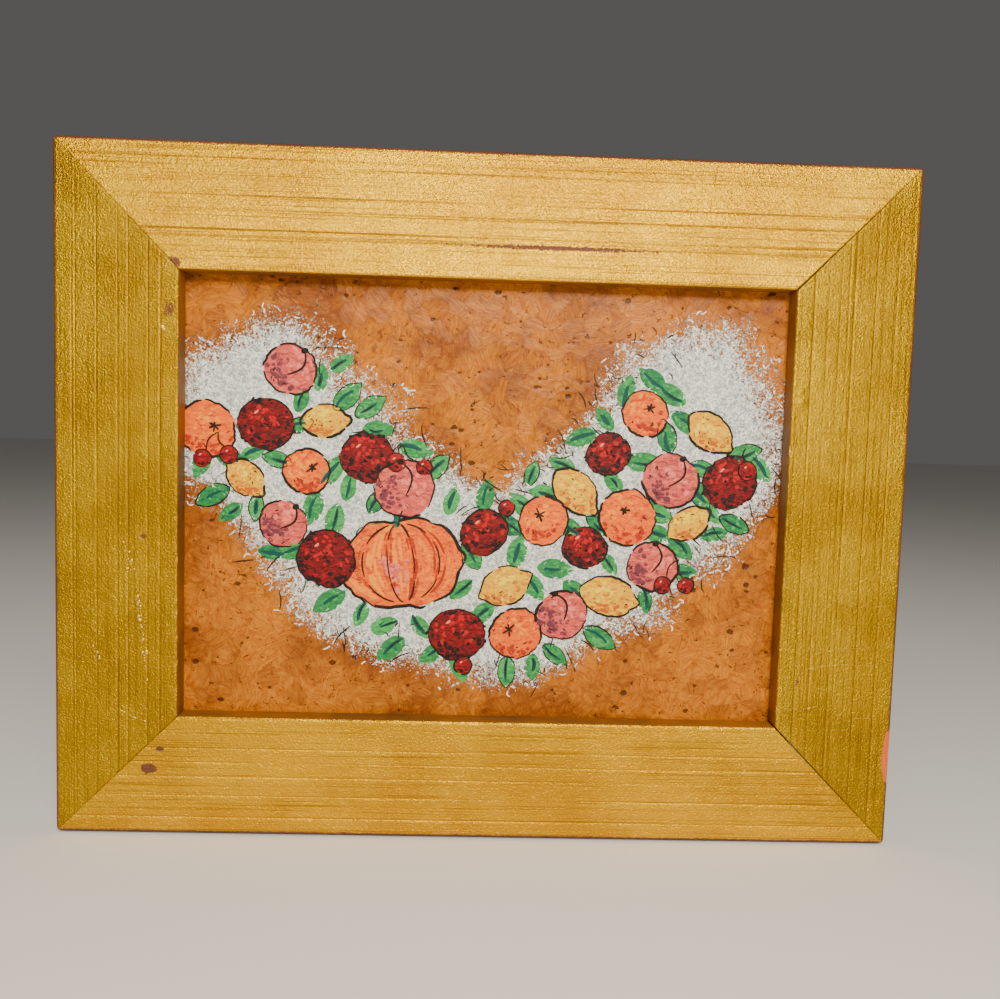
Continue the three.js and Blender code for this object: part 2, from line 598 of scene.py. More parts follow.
@dataclass(frozen=True)
class CorkFinish:
    """Varnished cork: grains that each run their own way, dark pits, and dabs of pale paint."""

    name: str
    light: Colour
    middle: Colour
    dark: Colour
    pit: Colour
    pale: Colour
    pale_shade: Colour
    rough: float
    grains_to_mm: float = 0.24
    stir: float = 1.9
    streak_depth: float = 0.10
    pit_depth: float = 0.12
    paint_depth: float = 0.09

    def material(self) -> Material:
        """The cork, its pits, and the thin pale paint that is stippled over it.

        Returns:
            The material.
        """
        material, bench, shader = new_material(self.name)
        solid = bench.in_millimetres()
        swirl = bench.node("TexNoise", {"Vector": solid, "Scale": 0.5, "Detail": 2.0})
        stirred = bench.sum_of(solid, bench.scaled(swirl.outputs["Color"], self.stir))
        cells = {"Vector": stirred, "Scale": self.grains_to_mm}
        own = bench.node(
            "SeparateColor", {0: bench.node("TexVoronoi", cells).outputs["Color"]}
        )
        grain_wise = bench.node(
            "VectorRotate",
            {
                "Vector": solid,
                "Angle": bench.maths("MULTIPLY", own.outputs[0], math.tau),
                "Axis": (0.0, 1.0, 0.0),
            },
            rotation_type="AXIS_ANGLE",
        ).outputs[0]
        streaks = bench.noise(bench.stretch(grain_wise, (0.35, 1.0, 2.4)), 1.0, 4.0, 0.62, 0.7)
        seams = bench.node("TexVoronoi", cells, feature="DISTANCE_TO_EDGE").outputs["Distance"]
        wide = bench.noise(solid, 0.05, 3.0, 0.55)
        fine = bench.noise(solid, 1.6, 4.0, 0.7, 0.5)

        body = bench.mix(bench.remap(streaks, 0.34, 0.68), self.middle, self.light)
        body = bench.mix(bench.remap(own.outputs[1], 0.5, 1.0, 0.0, 0.35), body, self.dark)
        body = bench.mix(bench.remap(wide, 0.42, 0.62, 0.0, 0.6), body, self.dark)
        shows = bench.remap(wide, 0.35, 0.6, 0.0, 0.5)
        seam = bench.maths("MULTIPLY", bench.remap(seams, 0.16, 0.0), shows)
        body = bench.mix(seam, body, self.dark)
        mottle = bench.noise(stirred, 0.55, 4.0, 0.68, 0.9)
        body = bench.mix(bench.remap(mottle, 0.46, 0.30, 0.0, 0.75), body, self.dark)
        body = bench.mix(bench.remap(mottle, 0.56, 0.74, 0.0, 0.6), body, self.light)
        body = bench.mix(bench.remap(fine, 0.42, 0.28, 0.0, 0.6), body, self.dark)
        specks = bench.noise(bench.stretch(stirred, (1.0, 1.0, 1.35)), 0.72, 2.5, 0.55, 0.9)
        speck = bench.remap(specks, 0.335, 0.30)
        hole = bench.maths("MAXIMUM", speck, torn(bench, solid, "pit", 1.5, 0.8))
        body = bench.mix(bench.maths("MULTIPLY", hole, 0.88), body, self.pit)

        cover = bench.reading("pale")
        stipple = bench.noise(solid, 1.15, 3.5, 0.68, 1.6)
        laid = bench.maths("MULTIPLY", cover, 0.235)
        drift = bench.remap(bench.maths("ADD", bench.maths("SUBTRACT", stipple, 0.5), laid), 0.11, 0.16)
        painted = bench.maths("MULTIPLY", drift, bench.remap(cover, 0.02, 0.12))
        cloudy = bench.remap(bench.noise(solid, 1.6, 3.0, 0.7, 0.8), 0.40, 0.60)
        chalk = bench.mix(cloudy, self.pale_shade, self.pale)
        chalk = bench.mix(bench.remap(stipple, 0.50, 0.40, 0.0, 0.7), chalk, self.pale_shade)
        gap = bench.maths("MULTIPLY", bench.remap(cover, 0.1, 0.6), bench.remap(stipple, 0.42, 0.30))
        body = bench.mix(bench.maths("MULTIPLY", gap, 0.7), body, self.pit)

        normal = bump(bench, hole, -self.pit_depth, bump(bench, streaks, self.streak_depth))
        bench.fill(shader, {
            "Base Color": bench.mix(painted, body, chalk),
            "Specular IOR Level": VARNISH_SHINE,
            "Roughness": bench.remap(painted, 0.0, 1.0, self.rough, self.rough + 0.12),
            "Normal": bump(bench, painted, self.paint_depth, normal),
        })
        return material


@dataclass(frozen=True)
class PaintFinish:
    """Oil paint laid on with a small brush, mixed unevenly and a little glossy."""

    name: str
    light: Colour
    middle: Colour
    dark: Colour
    rough: float
    unevenness: float = 2.0
    ridge_depth: float = 0.16

    def material(self) -> Material:
        """Three tones, by the tone of each dab and the streaks of the brush.

        Returns:
            The material.
        """
        material, bench, shader = new_material(self.name)
        solid = bench.in_millimetres()
        brush = bench.group(BrushMarks.tree(), {"Vector": solid, "Scale": 0.95})
        off_middle = bench.maths("SUBTRACT", brush.outputs["Streaks"], 0.5)
        uneven = bench.maths("MULTIPLY", off_middle, self.unevenness)
        tone = bench.maths("ADD", bench.reading("tone"), uneven)
        colour = bench.mix(bench.remap(tone, 0.1, 0.5), self.dark, self.middle)
        colour = bench.mix(bench.remap(tone, 0.5, 0.95), colour, self.light)
        bench.fill(shader, {
            "Base Color": colour,
            "Roughness": self.rough,
            "Specular IOR Level": VARNISH_SHINE,
            "Normal": bump(bench, brush.outputs["Height"], self.ridge_depth),
        })
        return material


@dataclass(frozen=True)
class StudioFinish:
    """A plain matt surface that stands around the object."""

    name: str
    colour: Colour
    rough: float = 0.9

    def material(self) -> Material:
        """One colour, with no shine.

        Returns:
            The material.
        """
        material, bench, shader = new_material(self.name)
        bench.fill(shader, {"Base Color": (*self.colour, 1.0), "Roughness": self.rough})
        return material


# Pieces


def place_piece(
    name: str,
    shape: Shape,
    materials: Sequence[Material],
    stands_for: Iterable[str] = (),
    crease: float = 35.0,
) -> Piece:
    """Turns a finished shape into a piece that rides on the part.

    Args:
        name: The piece's name.
        shape: Its shape, in metres in the part's frame. It is freed here.
        materials: What its faces' material numbers mean.
        stands_for: The solids that it is shown in place of.
        crease: The angle in degrees past which an edge stays sharp.

    Returns:
        The piece.
    """
    mesh = bpy.data.meshes.new(name)
    shape.to_mesh(mesh)
    shape.free()
    for material in materials:
        mesh.materials.append(material)
    mesh.shade_smooth()
    mesh.set_sharp_from_angle(angle=math.radians(crease))
    piece = bpy.data.objects.new(name, mesh)
    bpy.context.scene.collection.objects.link(piece)
    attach(piece, "root")
    for node in stands_for:
        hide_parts(node)
    log.info("%s: %d faces", name, len(mesh.polygons))
    return piece


class Side(Enum):
    """The four lengths of the frame, by the solids that they stand for."""

    TOP = "frame_top_rail"
    RIGHT = "frame_right_stile"
    BOTTOM = "frame_bottom_rail"
    LEFT = "frame_left_stile"

    @property
    def inward(self) -> Vector:
        """The direction from this side's outer edge into the opening.

        Returns:
            A direction of length 1.
        """
        return {
            Side.TOP: Vector((0, 0, -1)),
            Side.RIGHT: Vector((-1, 0, 0)),
            Side.BOTTOM: Vector((0, 0, 1)),
            Side.LEFT: Vector((1, 0, 0)),
        }[self]

    @property
    def along(self) -> Vector:
        """The direction that this side's length runs in."""
        return self.inward.cross(FORWARD)

    @property
    def runs_backwards(self) -> bool:
        """Whether its length runs leftwards or upwards, against the way that it is read."""
        return self in (Side.TOP, Side.RIGHT)


@dataclass(frozen=True)
class Moulding:
    """The sizes of the frame and of its moulding's section, in millimetres."""

    width: float
    height: float
    top: float
    face_width: float
    back_width: float
    seat: float
    outer_depth: float = 12.7
    sight_depth: float = 15.9
    outer_arris: float = 0.9
    sight_arris: float = 0.6
    lip_arris: float = 0.3
    back_arris: float = 0.5

    @classmethod
    def of_the_solids(cls) -> Moulding:
        """Reads what it can from the frame's solids.

        Returns:
            The moulding that fits them.
        """
        low, high = CAD_BOX
        rail_low, rail_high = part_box(Side.TOP.value)
        panel_low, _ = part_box("painted_panel")
        seat_gap = 0.3
        return cls(
            width=(high.x - low.x) / MM,
            height=(high.z - low.z) / MM,
            top=high.z / MM,
            face_width=(rail_high.z - rail_low.z) / MM,
            back_width=2 * high.z / MM,
            seat=-panel_low.y / MM + seat_gap,
        )

    def length(self, side: Side) -> float:
        """How long a side is at its outer edge."""
        return self.width if side in (Side.TOP, Side.BOTTOM) else self.height

    def start(self, side: Side) -> Vector:
        """The outer corner of the frame where a side starts, on its back.

        Args:
            side: The side.

        Returns:
            The corner, in millimetres.
        """
        right = self.width / 2 if side in (Side.TOP, Side.RIGHT) else -self.width / 2
        up = self.top if side in (Side.TOP, Side.LEFT) else self.top - self.height
        return Vector((right, 0, up))

    def face_depth(self, across: float) -> float:
        """How far forward the gilt face is, at a distance in from the outer edge."""
        return self.outer_depth + (self.sight_depth - self.outer_depth) * across / self.face_width


@dataclass(frozen=True)
class Score:
    """A deep line scored along a length."""

    across: float
    depth: float = 0.2
    half_width: float = 0.22


@dataclass(frozen=True)
class Dent:
    """A round dent, or a lump where its depth is less than nothing."""

    along: float
    across: float
    radius: float
    depth: float


@dataclass(frozen=True)
class Rub:
    """A patch where the leaf is rubbed down to the bole, or past it to the bare ground."""

    along: float
    across: float
    half_length: float
    half_width: float
    strength: float = 1.0
    bare: bool = False


@dataclass(frozen=True)
class Scuff:
    """A light scrape across the leaf, from one place to another, bowed and broken."""

    along: float
    across: float
    to_along: float
    to_across: float
    width: float = 0.16
    bow: float = 0.0
    dark: bool = False
    breaks: int = 3


@dataclass(frozen=True)
class Crumbs:
    """A trail of small crumbs under the leaf."""

    along: float
    across: float
    to_along: float
    to_across: float
    count: int
    spread: float = 0.6
    size: float = 0.24


FULL_SCORE = 0.2  # the depth at which a scored line is full of toner
FACE_SINK = 0.03  # how far the worked face lies under the straight one, to leave room for lumps
OUTER, SIGHT = 1.0, 9.0  # what tells the nicks of the outer arris from those of the sight arris
WOOD, BRIGHT, DARK = 1, 2, 3  # the numbers of a length's finishes after its gilding


@dataclass
class MouldingLength:
    """One mitred length of the frame, with its scored, gilded and worn face."""

    side: Side
    moulding: Moulding
    scores: Sequence[Score]
    dents: Sequence[Dent] = ()
    rubs: Sequence[Rub] = ()
    scuffs: Sequence[Scuff] = ()
    crumbs: Sequence[Crumbs] = ()
    open_at_start: float = 0.05
    open_at_end: float = 0.05
    seed: int = 1
    column: float = 0.42
    row: float = 0.55
    end_rows: Sequence[float] = (0.0, 0.07, 0.16, 0.32)
    corner_round: float = 1.6
    half_joint: float = 0.02
    mitre_dip: float = 0.10
    mitre_reach: float = 0.14
    outer_wear: float = 1.1
    sight_wear: float = 0.9
    rng: random.Random = field(init=False)

    def __post_init__(self) -> None:
        """Gives the length chance of its own."""
        self.rng = random.Random(self.seed)

    @property
    def length(self) -> float:
        """How long it is at its outer edge."""
        return self.moulding.length(self.side)

    def read_along(self, along: float) -> float:
        """Turns a distance from the left or the top into one along the length."""
        return self.length - along if self.side.runs_backwards else along

    # The shape of the face.

    def combed(self, across: float, along: float) -> float:
        """How high the combed gesso stands, in millimetres.

        Args:
            across: The distance in from the outer edge.
            along: The distance along the length.

        Returns:
            The height.
        """
        lines = ripple(across * 1.25, along * 0.016, self.seed * 7.3)
        waves = ripple(across * 0.09, along * 0.05, self.seed * 3.1)
        return 0.035 * lines + 0.05 * waves

    def scored(self, across: float, along: float) -> float:
        """How deep the scored lines cut here.

        Args:
            across: The distance in from the outer edge.
            along: The distance along the length.

        Returns:
            The depth of the cut, in millimetres.
        """
        cut = 0.0
        for index, score in enumerate(self.scores):
            off = abs(across - score.across) / score.half_width
            if off < 1:
                worn = 0.62 + 0.75 * ripple(along * 0.022, index * 5.7, self.seed * 2.9)
                cut = max(cut, (1 - off) * min(max(worn, 0.0), 1.0) * score.depth)
        return cut

    def dented(self, across: float, along: float) -> float:
        """How deep the dents go here.

        Args:
            across: The distance in from the outer edge.
            along: The distance along the length.

        Returns:
            The depth, in millimetres.
        """
        depth = 0.0
        for dent in self.dents:
            off = math.hypot(across - dent.across, along - self.read_along(dent.along)) / dent.radius
            if off < 1.3:
                depth += dent.depth * math.exp(-2.2 * off * off)
        return depth

    def nicked(self, along: float, edge: float) -> float:
        """How far an arris is knocked back here.

        Args:
            along: The distance along the length.
            edge: A number that tells the arrises apart.

        Returns:
            The distance.
        """
        often = ripple(along * 0.33, edge, self.seed * 1.7)
        wave = 0.06 * ripple(along * 0.12, edge + 4.0, self.seed * 0.9)
        return max(0.0, often - 0.30) * 0.75 + wave

    def rubbed(self, across: float, along: float, forward: float) -> tuple[float, float]:
        """How far the leaf is rubbed away here, and how far the ground is broken.

        Args:
            across: The distance in from the outer edge.
            along: The distance along the length.
            forward: The distance in front of the back.

        Returns:
            The strength of the rub and of the break, each about 1 where it is complete.
        """
        below = (self.moulding.face_depth(across) - forward - 0.12) / 0.5
        outer = 1.3 - across / 0.85
        sight = 0.38 - (self.moulding.face_width - across) / 0.6
        rub, bare = max(below, outer, sight), -1.0
        for patch in self.rubs:
            off = math.hypot(
                (along - self.read_along(patch.along)) / patch.half_length,
                (across - patch.across) / patch.half_width,
            )
            here = patch.strength * math.exp(-0.7 * off * off)
            rub = max(rub, 1.15 * here)
            if patch.bare:
                bare = max(bare, 1.25 * here)
        return min(max(rub, -0.5), 1.6), bare

    # Building it.

    def columns(self) -> list[float]:
        """Where the face is divided across its width, finer at each deep line.

        Returns:
            The distances in from the outer edge.
        """
        first = self.moulding.outer_arris + 0.15
        last = self.moulding.face_width - self.moulding.sight_arris - 0.12
        steps = round((last - first) / self.column)
        even = [first + (last - first) * i / steps for i in range(steps + 1)]
        offsets = (-1.0, -0.45, 0.0, 0.45, 1.0)
        fine = [s.across + s.half_width * o for s in self.scores for o in offsets]
        kept = [u for u in even if all(abs(u - f) > 0.12 for f in fine)]
        return sorted(kept + fine)

    def rows(self) -> list[float]:
        """Where the length is divided, as shares of it, finer at the mitres.

        Returns:
            The shares, from 0 to 1.
        """
        count = round(self.length / self.row)
        start = [r / self.length for r in self.end_rows]
        first, last = start[-1], 1 - start[-1]
        even = [first + (last - first) * i / count for i in range(1, count)]
        return [*start, *even, *(1 - r for r in reversed(start))]

    def section(self) -> tuple[Shape, bmesh.types.BMFace]:
        """Draws the moulding's section, with its arrises rounded and its face divided.

        Returns:
            The shape and its one face, lying across the length at its start.
        """
        m = self.moulding
        shape = bmesh.new()
        outline = [
            (0.0, 0.0, m.back_arris),
            (m.back_width, 0.0, 0.0),
            (m.back_width, m.seat, 0.0),
            (m.face_width, m.seat, m.lip_arris),
            (m.face_width, m.sight_depth, m.sight_arris),
            (0.0, m.outer_depth, m.outer_arris),
        ]
        corners = [shape.verts.new((across, forward, 0.0)) for across, forward, _ in outline]
        shape.faces.new(corners)
        for corner, (_, _, rounding) in zip(corners, outline):
            if rounding:
                bmesh.ops.bevel(
                    shape, geom=[corner], offset=rounding, segments=5, profile=0.5,
                    affect="VERTICES", material=-1,
                )
        gilt = max(shape.edges, key=lambda e: min(v.co.y for v in e.verts) + e.calc_length())
        cuts = self.columns()
        made = bmesh.ops.subdivide_edges(shape, edges=[gilt], cuts=len(cuts))
        fresh = [v for v in made["geom_inner"] if isinstance(v, bmesh.types.BMVert)]
        for vert, across in zip(sorted(fresh, key=lambda v: v.co.x), cuts):
            vert.co = (across, m.face_depth(across), 0.0)
        shape.faces.ensure_lookup_table()
        return shape, shape.faces[0]

    def drawn_out(self) -> Shape:
        """Draws the section out along the length, in rows.

        Returns:
            The length, lying along Z with square ends.
        """
        shape, face = self.section()
        made = bmesh.ops.extrude_face_region(shape, geom=[face])
        far = [v for v in made["geom"] if isinstance(v, bmesh.types.BMVert)]
        bmesh.ops.translate(shape, vec=(0, 0, self.length), verts=far)
        long_edges = [e for e in shape.edges if abs(e.verts[0].co.z - e.verts[1].co.z) > 1.0]
        bmesh.ops.subdivide_edges(shape, edges=long_edges, cuts=len(self.rows()) - 2)
        return shape

    def mitred(self, share: float, across: float) -> float:
        """Where a point lies along the length, once both ends are cut at 45 degrees.

        Args:
            share: How far along the length it was, from 0 to 1.
            across: The distance in from the outer edge.

        Returns:
            The distance along the length.
        """
        inward = across / self.moulding.face_width
        first = across + self.half_joint + self.open_at_start * inward
        last = self.length - across - self.half_joint - self.open_at_end * inward
        return first + (last - first) * share

    def rounded(self, across: float, along: float) -> tuple[float, float]:
        """Wears the frame's outer corners round.

        Args:
            across: The distance in from the outer edge.
            along: The distance along the length.

        Returns:
            Both distances, drawn in where they lie outside the round.
        """
        worn = self.corner_round
        to_end = min(along, self.length - along)
        if across >= worn or to_end >= worn:
            return across, along
        off = Vector((worn - across, worn - to_end))
        pull = min(1.0, worn / off.length)
        drawn = worn - off.y * pull
        return worn - off.x * pull, drawn if along < self.length / 2 else self.length - drawn

    def work_face(self, shape: Shape) -> None:
        """Cuts the mitres, and works the face: combed, scored, dented, nicked and rubbed.

        Args:
            shape: The length's shape, lying along Z.
        """
        m = self.moulding
        rows = self.rows()
        marks = ("rub", "bare", "score", "wall")
        layers = {name: shape.verts.layers.float.new(name) for name in marks}
        for vert in shape.verts:
            across, forward, raw = vert.co
            share = rows[round(raw / self.length * (len(rows) - 1))]
            along = self.mitred(share, across)
            rub, bare = self.rubbed(across, along, forward)
            across, along = self.rounded(across, along)
            exposed = ease(1 - (m.face_depth(across) - forward) / 0.45)
            cut = self.scored(across, along) * exposed
            if exposed > 0:
                to_end = min(share, 1 - share) * self.length
                forward -= self.mitre_dip * exposed * math.exp(-((to_end / self.mitre_reach) ** 2))
                forward -= FACE_SINK * exposed
                forward += exposed * (self.combed(across, along) - cut - self.dented(across, along))
                outer = ease(1 - across / self.outer_wear)
                sight = ease(1 - (m.face_width - across) / self.sight_wear)
                at_outer, at_sight = (self.nicked(along, edge) for edge in (OUTER, SIGHT))
                forward -= exposed * (outer * at_outer + sight * at_sight)
                across += outer * max(0.0, at_outer) * exposed
                across -= sight * max(0.0, at_sight) * exposed
                for patch in self.rubs:
                    if patch.bare:
                        off = (along - self.read_along(patch.along)) / patch.half_length
                        bite = patch.half_width * 0.55 * math.exp(-1.2 * off * off)
                        forward -= exposed * outer * bite * 0.5
                        across += exposed * outer * bite * 0.5
            vert[layers["rub"]], vert[layers["bare"]] = rub, bare
            vert[layers["score"]] = min(cut / FULL_SCORE, 1.0)
            vert[layers["wall"]] = ease((across - m.face_width + 1.2) / 0.6)
            vert.co = (across, forward, along)

    def lay_flat_map(self, shape: Shape) -> None:
        """Gives each face its place along and across the length, for the combed lines.

        Args:
            shape: The length's shape, lying along Z.
        """
        flat = shape.loops.layers.uv.new("moulding")
        for face in shape.faces:
            for loop in face.loops:
                loop[flat].uv = (loop.vert.co.z, loop.vert.co.x + loop.vert.co.y * 0.37)

    def assign_wood(self, shape: Shape) -> None:
        """Leaves the back, the rabbet and the cut ends as bare wood.

        Args:
            shape: The length's shape, lying along Z.
        """
        m = self.moulding
        for face in shape.faces:
            middle = face.calc_center_median()
            behind = middle.y < m.seat + 0.02 and middle.x > 0.3
            if len(face.verts) > 4 or behind:
                face.material_index = WOOD

    def surface(self, along: float, across: float) -> Vector:
        """A point on the worked face, in the length's own directions.

        Args:
            along: The distance along the length.
            across: The distance in from the outer edge.

        Returns:
            The point.
        """
        m = self.moulding
        forward = m.face_depth(across) - FACE_SINK + self.combed(across, along)
        forward -= self.scored(across, along)
        return Vector((across, forward, along))

    @staticmethod
    def finish_faces(verts: Iterable[bmesh.types.BMVert], number: int) -> None:
        """Gives the faces round some points one of the length's finishes."""
        for face in {f for v in verts for f in v.link_faces}:
            face.material_index = number

    def add_crumbs(self, shape: Shape, trail: Crumbs) -> None:
        """Sets a trail of small flattened crumbs into the face.

        Args:
            shape: The length's shape, lying along Z.
            trail: The trail.
        """
        for _ in range(trail.count):
            share = self.rng.random()
            along = trail.along + (trail.to_along - trail.along) * share
            across = trail.across + (trail.to_across - trail.across) * share
            across += self.rng.gauss(0, trail.spread)
            at = self.surface(self.read_along(along), across)
            size = trail.size * self.rng.uniform(0.5, 1.5)
            turn = Matrix.Rotation(self.rng.uniform(0, math.pi), 4, "Y")
            flat = Matrix.Diagonal((self.rng.uniform(0.7, 1.5), 0.45, 1.0, 1.0))
            made = bmesh.ops.create_icosphere(
                shape, subdivisions=2, radius=size, matrix=Matrix.Translation(at) @ turn @ flat
            )
            self.finish_faces(made["verts"], BRIGHT)

    def add_scuff(self, shape: Shape, scuff: Scuff) -> None:
        """Lays a scrape on the face, as thin broken ribbons with a low crown.

        Args:
            shape: The length's shape, lying along Z.
            scuff: The scrape.
        """
        start = Vector((scuff.across, self.read_along(scuff.along)))
        end = Vector((scuff.to_across, self.read_along(scuff.to_along)))
        line = end - start
        normal = Vector((-line.y, line.x)).normalized()
        for part in range(scuff.breaks):
            low = (part + self.rng.uniform(0.0, 0.25)) / scuff.breaks
            high = (part + self.rng.uniform(0.7, 1.0)) / scuff.breaks
            shift = self.rng.gauss(0, 0.12) if scuff.breaks > 1 else 0.0
            steps = max(4, round(line.length * (high - low) / 0.4))
            made = bmesh.ops.create_grid(shape, x_segments=steps, y_segments=2, size=1)
            for vert in made["verts"]:
                run, side = (vert.co.x + 1) / 2, vert.co.y
                share = low + (high - low) * run
                taper = math.sqrt(max(0.0, 1 - (2 * run - 1) ** 2)) * 0.9 + 0.1
                wobble = 0.10 * ripple(share * line.length * 0.8, scuff.along, self.seed)
                sideways = scuff.bow * math.sin(math.pi * share) + wobble + shift
                sideways += side * scuff.width / 2 * taper
                flat = start + line * share + normal * sideways
                at = self.surface(flat.y, flat.x)
                at.y += 0.035 * (1 - side * side) - 0.012
                vert.co = at
            self.finish_faces(made["verts"], DARK if scuff.dark else BRIGHT)

    def build(self, materials: Sequence[Material]) -> Piece:
        """Builds the length and puts it in its place.

        Args:
            materials: Its gilding, bare wood, bright burr and dark scratch, in that order.

        Returns:
            The piece.
        """
        shape = self.drawn_out()
        self.work_face(shape)
        self.assign_wood(shape)
        for trail in self.crumbs:
            self.add_crumbs(shape, trail)
        for scuff in self.scuffs:
            self.add_scuff(shape, scuff)
        self.lay_flat_map(shape)
        side = self.side
        turn = Matrix((side.inward, FORWARD, side.along)).transposed().to_4x4()
        place = Matrix.Scale(MM, 4) @ Matrix.Translation(self.moulding.start(side)) @ turn
        bmesh.ops.transform(shape, matrix=place, verts=shape.verts)
        bmesh.ops.recalc_face_normals(shape, faces=shape.faces)
        return place_piece(
            side.name.lower() + "_moulding", shape, materials, [side.value]
        )


NO_PIT = -0.4  # how far inside a pit a place is, where there is none near it


@dataclass
class CorkPanel:
    """The sheet of cork that the picture is painted on, lying in the rabbet."""

    width: float
    height: float
    front: float
    thickness: float
    middle: float
    ground: Callable[[float, float], float]
    round_edge: float = 0.4
    pit_sink: float = 0.16
    cell: float = 0.56
    hidden_border: float = 4.4
    pits: int = 440
    seed: int = 5
    rng: random.Random = field(init=False)
    holes: list[tuple[float, float, float]] = field(init=False)

    @classmethod
    def of_the_solid(cls, ground: Callable[[float, float], float]) -> CorkPanel:
        """Takes the sheet's sizes from its solid.

        Args:
            ground: How thickly the pale ground of the picture is laid, at a place on it.

        Returns:
            The sheet, not yet built.
        """
        low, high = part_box("painted_panel")
        return cls(
            width=(high.x - low.x) / MM,
            height=(high.z - low.z) / MM,
            front=-low.y / MM,
            thickness=(high.y - low.y) / MM,
            middle=(low.z + high.z) / 2 / MM,
            ground=ground,
        )

    def __post_init__(self) -> None:
        """Scatters the pits that cork has, most of them small."""
        self.rng = random.Random(self.seed)
        self.holes = [
            (
                self.rng.uniform(-0.5, 0.5) * self.width,
                self.rng.uniform(-0.5, 0.5) * self.height,
                0.3 + 0.85 * self.rng.random() ** 2.4,
            )
            for _ in range(self.pits)
        ]

    def relief(self, across: float, up: float) -> float:
        """How far the sheet's face stands out at a place measured from its middle.

        Args:
            across: The distance to the right of the sheet's middle.
            up: The height above the sheet's middle.

        Returns:
            The height.
        """
        waves = 0.06 * ripple(across * 0.2, up * 0.2, self.seed)
        grains = 0.03 * ripple(across * 0.6, up * 0.6, self.seed + 3.0)
        to_edge = min(self.width / 2 - abs(across), self.height / 2 - abs(up))
        return (waves + grains - 0.05) * ease((to_edge - 1.0) / self.hidden_border)

    def on_face(self, across: float, up: float, lift: float = 0.0) -> Vector:
        """The point over a place on the face, in metres in the part's frame."""
        out = self.front + self.relief(across, up) + lift
        return Vector((across, -out, up + self.middle)) * MM

    def edge_profile(self) -> list[tuple[float, float]]:
        """The edge's section, past the flat of the face: how far out and how far back it goes.

        Returns:
            The steps round the front edge, down the side and round the back edge.
        """
        bend = [math.radians(angle) for angle in (30, 60, 90)]
        steps = [(math.sin(a), 1 - math.cos(a)) for a in bend]
        depth = self.thickness / self.round_edge
        steps += [(out, depth - back) for out, back in reversed(steps)] + [(0.0, depth)]
        return [(out * self.round_edge, back * self.round_edge) for out, back in steps]

    def pitted(self, across: float, up: float) -> float:
        """How deep inside a pit a place is, about 1 in its middle and less than 0 outside.

        Args:
            across: The distance to the right of the sheet's middle.
            up: The height above the sheet's middle.

        Returns:
            The depth.
        """
        near = [
            1.15 - math.hypot((across - x) * 0.85, (up - z) * 1.15) / radius
            for x, z, radius in self.holes
            if abs(across - x) < 3 and abs(up - z) < 3
        ]
        return max(near, default=NO_PIT)

    def build(self, material: Material) -> Piece:
        """Builds the sheet: its face, then its rounded edges, sides and back.

        Args:
            material: The finish of the cork.

        Returns:
            The piece.
        """
        shape = bmesh.new()
        pale = shape.verts.layers.float.new("pale")
        pit = shape.verts.layers.float.new("pit")
        inner_width, inner_height = self.width - 2 * self.round_edge, self.height - 2 * self.round_edge
        bmesh.ops.create_grid(
            shape,
            x_segments=round(inner_width / self.cell),
            y_segments=round(inner_height / self.cell),
            size=0.5,
        )
        for vert in shape.verts:
            across, up = vert.co.x * inner_width, vert.co.y * inner_height
            vert[pale] = self.ground(across, up)
            vert[pit] = self.pitted(across, up)
            vert.co = self.on_face(across, up, -self.pit_sink * ease(vert[pit] * 1.4))
        rim = [edge for edge in shape.edges if edge.is_boundary]
        for out, back in self.edge_profile():
            made = bmesh.ops.extrude_edge_only(shape, edges=rim)["geom"]
            rim = [part for part in made if isinstance(part, bmesh.types.BMEdge)]
            for vert in {v for edge in rim for v in edge.verts}:
                vert[pale] = 0.0
                vert[pit] = NO_PIT
                share = Vector((
                    vert.co.x / MM / self.width, (vert.co.z / MM - self.middle) / self.height
                ))
                reach = max(abs(share.x), abs(share.y)) * 2
                across = share.x / reach * (inner_width + 2 * out)
                up = share.y / reach * (inner_height + 2 * out)
                vert.co = Vector((across, back - self.front, up + self.middle)) * MM
        bmesh.ops.holes_fill(shape, edges=rim, sides=0)
        bmesh.ops.recalc_face_normals(shape, faces=shape.faces)
        return place_piece(
            "cork_panel", shape, [material], ["painted_panel"], crease=50
        )


# The picture


class Paint(Enum):
    """The paints on the cork, by the names of the pieces that they make."""

    YELLOW = "yellow_paint"
    ORANGE = "orange_paint"
    ROSE = "rose_paint"
    CRIMSON = "crimson_paint"
    GREEN = "green_paint"
    PALE = "pale_stipple"
    INK = "dark_outlines"


def turned(x: float, z: float, angle: float) -> Vector:
    """A flat vector, turned by an angle."""
    cos, sin = math.cos(angle), math.sin(angle)
    return Vector((x * cos - z * sin, x * sin + z * cos))


def bowed(
    start: Vector, end: Vector, bow: Vector, first: float = 0.0, share: float = 1.0
) -> Callable[[float], Vector]:
    """The path between two places, bowed out in its middle.

    Args:
        start: Where the whole path starts.
        end: Where it ends.
        bow: How far its middle is pushed out.
        first: Where a part of it starts, as a share of the whole.
        share: How much of the whole that part takes.

    Returns:
        The path of the part.
    """
    return lambda t: start.lerp(end, first + share * t) + bow * math.sin(math.pi * t)


